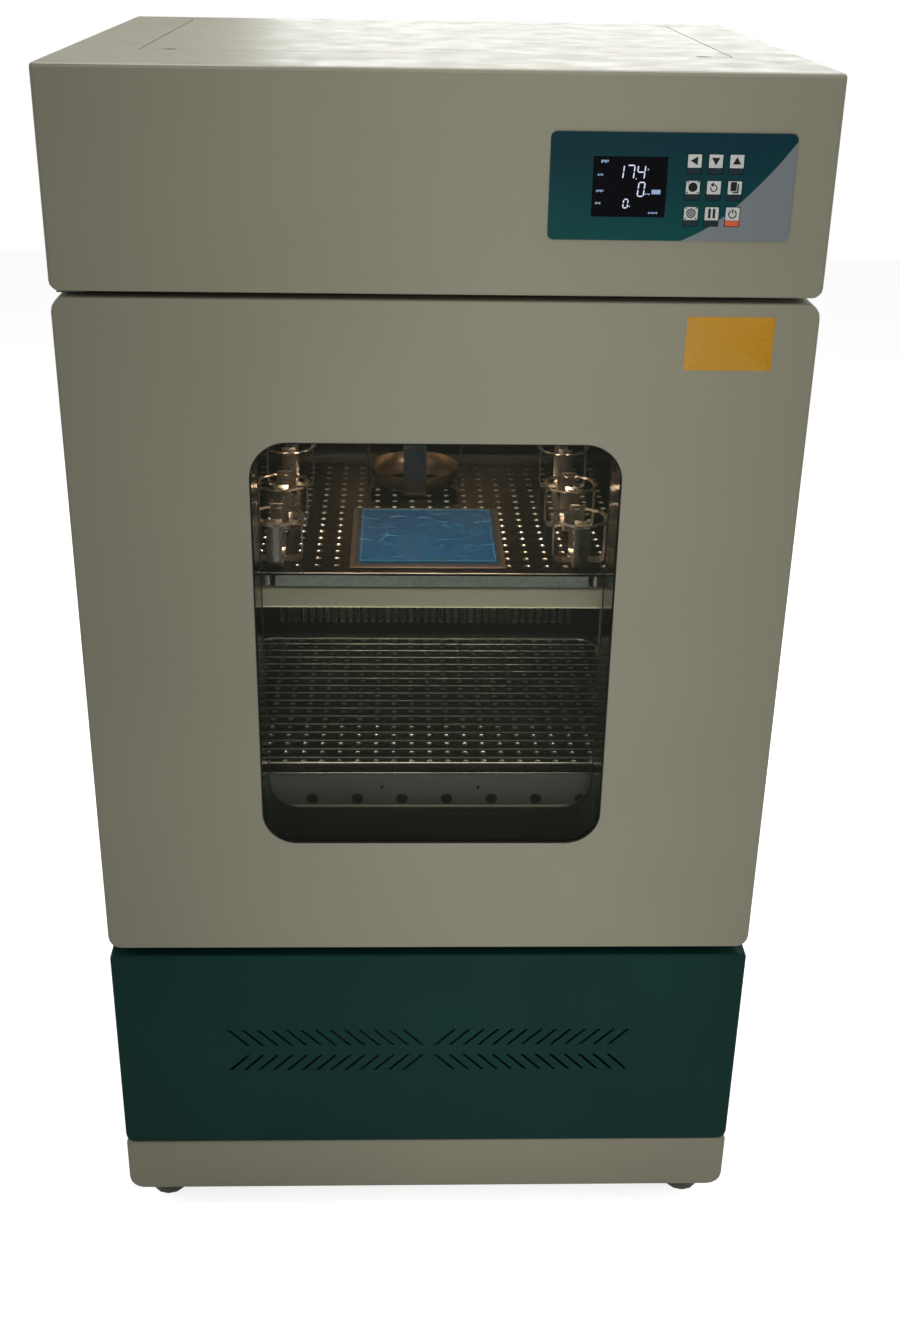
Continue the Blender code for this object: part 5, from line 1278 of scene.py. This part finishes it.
    def mark(self, skin: Skin, number: int, centre: tuple[float, float]) -> None:
        """Print a key's plain symbol: an arrow, a lamp, a turned arrow, pages, two bars or a power ring.

        Args:
            skin: The key.
            number: Which key, from 0.
            centre: Middle of its white field.
        """
        x, z = centre
        near, far, scale = -0.34, -0.3398, 1.15 * MM

        def solid(points: Iterable[tuple[float, float]]) -> None:
            loop = np.array([[x + u * scale, z + v * scale] for u, v in points])
            stamp(skin, loop, near, far, 3)

        def ring(outer: float, inner: float, at: tuple[float, float] = (0.0, 0.0), start: float = 0.0,
                 end: float = 360.0) -> None:
            angles = np.radians(np.linspace(start, end, 25))
            around = np.column_stack([np.cos(angles), np.sin(angles)])
            middle = np.array([x + at[0] * scale, z + at[1] * scale])
            inner_loop, outer_loop = middle + around * inner * scale, middle + around * outer * scale
            edges = ((outer_loop, far), (outer_loop, near), (inner_loop, near), (inner_loop, far))
            skin.grid(np.stack([at_depth(loop, y) for loop, y in edges]), slot=3)

        if number < 3:
            turn = (math.pi, -math.pi / 2, math.pi / 2)[number]
            tips = ((3.6, 0.0), (-2.6, 3.5), (-2.6, -3.5))
            level, upright = math.cos(turn), math.sin(turn)
            solid((u * level - v * upright, u * upright + v * level) for u, v in tips)
        elif number in (3, 6):
            if number == 3:
                solid(circle_outline(3.9, 20))
            else:
                ring(4.0, 3.0)
                ring(2.3, 1.5)
                solid(circle_outline(0.8, 10))
            for u, v in ((1, 1), (-1, 1), (-1, -1), (1, -1)):
                solid([(3.5 * u, 4.2 * v), (4.2 * u, 3.5 * v), (5.5 * u, 4.8 * v), (4.8 * u, 5.5 * v)])
        elif number == 4:
            ring(3.1, 2.2, (0.0, -0.6), -200.0, 90.0)
            solid([(-0.2, 0.4), (-0.2, 4.2), (-3.2, 2.2)])
        elif number == 5:
            solid([(-3.6, -2.8), (1.6, -2.8), (1.6, 4.6), (-3.6, 4.6)])
            solid([(2.2, -4.4), (3.4, -4.4), (3.4, 3.0), (2.2, 3.0)])
            solid([(-1.6, -4.6), (3.4, -4.6), (3.4, -3.5), (-1.6, -3.5)])
        elif number == 7:
            solid([(-3.0, -4.0), (-0.9, -4.0), (-0.9, 4.0), (-3.0, 4.0)])
            solid([(0.9, -4.0), (3.0, -4.0), (3.0, 4.0), (0.9, 4.0)])
        else:
            ring(3.7, 2.7, (0.0, -0.4), 115.0, 425.0)
            solid([(-0.5, 0.2), (0.5, 0.2), (0.5, 4.0), (-0.5, 4.0)])


def stamp(skin: Skin, outline: Array, near: float, far: float, slot: int = 0) -> None:
    """Stand a thin printed shape in the XZ plane between two depths."""
    skin.rings(np.stack([at_depth(outline, far), at_depth(outline, near)]), slot=slot)


@dataclass
class Door:
    """The insulated door: panes with their beads and spacer, bellows seal and the bare amber sticker."""

    window: tuple[float, float, float, float] = (-0.1975, 0.561, 0.1975, 1.051)
    window_radius: float = 40.0 * MM
    sticker: tuple[float, float, float, float] = (0.2535, 1.132, 0.344, 1.1875)

    def make(self) -> None:
        """Model and dress the door."""
        paint(Finish.BODY, "door_skin", "door_liner")
        paint(Finish.GLASS, "outer_glass", "inner_glass")
        paint(Finish.ZINC, "hinge_upper", "hinge_lower")
        self.rim()
        self.seal()
        self.label()

    def opening(self, inset: float, radius: float) -> Array:
        """Give the window's outline, drawn in by an inset."""
        left, low, right, high = self.window
        return rounded_outline(left + inset, low + inset, right - inset, high - inset, radius, 12)

    def rim(self) -> None:
        """Seat the panes in a black bead outside and one inside, with a dark spacer between them."""
        skin = Skin()
        loop = self.opening(0.3 * MM, self.window_radius)
        for y, radius in ((-0.3370, 1.2 * MM), (-0.2577, 1.6 * MM)):
            skin.sweep(at_depth(loop, y), circle_outline(radius, 10), closed=True, up=(0, 1, 0))
        settle(skin.build("window_beads", [Finish.RUBBER]), "door", "seal_rubber")
        skin = Skin()
        near, far = -0.3318, -0.2625
        rings = []
        for inset, y in ((0.1 * MM, near), (1.2 * MM, near), (1.2 * MM, far), (0.1 * MM, far)):
            rings.append(at_depth(self.opening(inset, self.window_radius - inset), y))
        skin.grid(np.stack(rings), wrap_rows=True, wrap_columns=True)
        settle(skin.build("pane_spacer", [Finish.SPACER]), "door", "seal_rubber")

    def seal(self) -> None:
        """Fold a bellows seal round the chamber's mouth, with three soft ridges on each side."""
        half, low, high = AT.chamber_half - 14 * MM, AT.chamber_bottom + 14 * MM, AT.chamber_top - 14 * MM
        middle = 9 * MM
        loop = rounded_outline(-half - middle, low - middle, half + middle, high + middle, 24 * MM, 8)
        steps = np.linspace(0.0, 1.0, 13)
        ridge = 8.4 * MM - 1.3 * MM * np.abs(np.cos(steps * np.pi * 3))
        left = [(-r, s * 11.4 * MM) for r, s in zip(ridge, steps)]
        profile = np.array(left + [(-u, v) for u, v in reversed(left)])
        path = at_depth(loop, AT.door_back + 0.3 * MM)
        skin = Skin()
        skin.sweep(path, profile, closed=True, up=(0, 1, 0))
        settle(skin.build("bellows_seal", [Finish.RUBBER], 50.0), "door", "seal_rubber", "door_gasket")

    def label(self) -> None:
        """Lay a bare amber sticker on the door, with small rounded corners."""
        left, low, right, high = self.sticker
        skin = Skin()
        outline = rounded_outline(left, low, right, high, 1.6 * MM, 4)
        middle = outline.mean(0)
        inner = middle + (outline - middle) * 0.996
        skin.rings(np.stack([at_depth(outline, AT.face), at_depth(outline, AT.face - 0.15 * MM),
                             at_depth(inner, AT.face - 0.22 * MM)]))
        settle(skin.build("amber_sticker", [Finish.LABEL]), "door", "door_paint")


# Camera, floor and light


@dataclass
class Studio:
    """The photograph's viewpoint, a pale floor and soft lamps."""

    place: Point = (-0.0372, -1.9438, 1.562)
    yaw: float = -0.0344
    pitch: float = 0.4433
    roll: float = 0.0177
    lens: float = 43.36
    floor_reach: float = 6.0

    def camera(self) -> None:
        """Stand the camera where the photograph was taken, looking down at the cabinet."""
        data = bpy.data.cameras.new("photo_camera")
        data.lens = self.lens
        data.sensor_width = 36.0
        data.clip_start = 0.01
        obj = bpy.data.objects.new("photo_camera", data)
        obj.matrix_world = Matrix.Translation(self.place) @ self.turn()
        bpy.context.scene.collection.objects.link(obj)
        bpy.context.scene.camera = obj

    def turn(self) -> Matrix:
        """Turn from the room to the camera: about the upright, downwards, then about the line of sight."""
        upright = Matrix.Rotation(-self.yaw, 3, "Y")
        tilt = Matrix.Rotation(self.pitch, 3, "X")
        bank = Matrix.Rotation(-self.roll, 3, "Z")
        level = Matrix(((1, 0, 0), (0, 0, 1), (0, -1, 0)))
        return (bank @ tilt @ upright @ level).transposed().to_4x4()

    def floor(self) -> None:
        """Lay a wide pale floor that only the camera sees near white, with the cabinet's shadow on it."""
        reach = self.floor_reach
        corners = [(-reach, -reach, 0.0), (reach, -reach, 0.0), (reach, reach, 0.0), (-reach, reach, 0.0)]
        mesh = bpy.data.meshes.new("studio_floor")
        mesh.from_pydata(corners, [], [(0, 1, 2, 3)])
        obj = bpy.data.objects.new("studio_floor", mesh)
        recipe = Recipe("pale_floor")
        recipe.feed("Base Color", linear("#d2d2d0"))
        recipe.feed("Roughness", 0.9)
        seen = recipe.node("ShaderNodeLightPath").outputs["Is Camera Ray"]
        recipe.feed("Emission Color", linear("#ffffff"))
        recipe.feed("Emission Strength", recipe.ranged(seen, 0.0, 0.80, 0.0, 1.0))
        recipe.feed("Specular IOR Level", 0.1)
        mesh.materials.append(recipe.material)
        bpy.context.scene.collection.objects.link(obj)

    def lamp(self, name: str, place: Point, target: Point, size: tuple[float, float], watts: float,
             tint: str = "#ffffff", mirrored: bool = True) -> None:
        """Hang one soft lamp.

        Args:
            name: Its name.
            place: Where it hangs.
            target: What it faces.
            size: Its width and height in metres.
            watts: Its power.
            tint: Its colour.
            mirrored: Whether glass and steel reflect it.
        """
        data = bpy.data.lights.new(name, "AREA")
        data.shape = "RECTANGLE"
        data.size, data.size_y = size
        data.energy = watts
        data.color = linear(tint)[:3]
        obj = bpy.data.objects.new(name, data)
        aim = np.array(target) - np.array(place)
        obj.matrix_world = Matrix.Translation(place) @ vector_turn(aim)
        obj.visible_camera = False
        obj.visible_glossy = mirrored
        bpy.context.scene.collection.objects.link(obj)

    def world(self) -> None:
        """Give even soft surroundings that the camera and glass see as white."""
        world = bpy.data.worlds.new("studio")
        world.use_nodes = True
        tree = world.node_tree
        background = tree.nodes["Background"]
        rays = tree.nodes.new("ShaderNodeLightPath")
        seen = tree.nodes.new("ShaderNodeMath")
        seen.operation = "ADD"
        seen.use_clamp = True
        tree.links.new(rays.outputs["Is Camera Ray"], seen.inputs[0])
        tree.links.new(rays.outputs["Is Transmission Ray"], seen.inputs[1])
        level = tree.nodes.new("ShaderNodeMapRange")
        level.inputs["To Min"].default_value = 0.22
        level.inputs["To Max"].default_value = 1.0
        tree.links.new(seen.outputs[0], level.inputs["Value"])
        tree.links.new(level.outputs[0], background.inputs["Strength"])
        background.inputs["Color"].default_value = linear("#ffffff")
        bpy.context.scene.world = world

    def make(self) -> None:
        """Set the camera, floor, lamps and surroundings."""
        self.camera()
        self.floor()
        self.world()
        self.lamp("chamber_light", (0.0, -0.205, 1.128), (0.0, 0.0, 0.85), (0.30, 0.04), 1.25, "#ffe2c4")
        self.lamp("shelf_light", (0.0, -0.222, 0.790), (0.0, 0.16, 0.64), (0.40, 0.03), 0.42, "#f4f2dc")
        self.lamp("front_strip", (0.10, -0.86, 1.06), (0.10, 0.0, 1.06), (0.35, 2.0), 4.1, mirrored=False)
        self.lamp("top_soft", (0.0, 0.1, 3.1), (0.0, 0.0, 1.4), (1.8, 1.8), 50.0, "#f3f6ff")
        self.lamp("right_soft", (2.6, 0.3, 1.6), (0.0, 0.0, 0.8), (1.6, 1.6), 26.0)
        self.lamp("left_soft", (-2.6, 0.6, 1.6), (0.0, 0.0, 0.8), (1.6, 1.6), 26.0)
        self.lamp("back_soft", (0.4, 2.6, 1.6), (0.0, 0.0, 0.8), (1.6, 1.6), 26.0)
        view = bpy.context.scene.view_settings
        view.view_transform = "Standard"


def vector_turn(aim: Array) -> Matrix:
    """Turn a lamp so that it shines along a direction."""
    z = -aim / np.linalg.norm(aim)
    x = np.cross((0.0, 0.0, 1.0), z)
    if np.linalg.norm(x) < 1e-6:
        x = np.array([1.0, 0.0, 0.0])
    x = x / np.linalg.norm(x)
    y = np.cross(z, x)
    return Matrix(np.column_stack([x, y, z]).tolist()).to_4x4()


def main() -> None:
    """Build and dress every sub-assembly in order."""
    logging.basicConfig(level=logging.INFO, format="%(name)s: %(message)s")
    Studio().make()
    paint(Finish.BODY, "plinth", "side_panel_left", "side_panel_right", "back_panel", "header_cover",
          "top_hatch")
    Chamber().make()
    ControlPanel().make()
    Door().make()
    Rack().make()
    paint(Finish.SKIRT, "skirt_panel")
    paint(Finish.CORE, "base_deck")
    paint(Finish.ALLOY, "bearing_bed", "drive_crank", "idler_crank_1", "idler_crank_2", "idler_crank_3",
          "motor_pulley")
    paint(Finish.ENAMEL, "drive_motor")
    paint(Finish.RUBBER, "drive_belt")
    paint(Finish.NYLON, "cable_gland")
    paint(Finish.ZINC, "condenser", *(f"caster_fork_{n}" for n in range(1, 5)))
    Undercarriage().make()


if __name__ == "__main__":
    main()
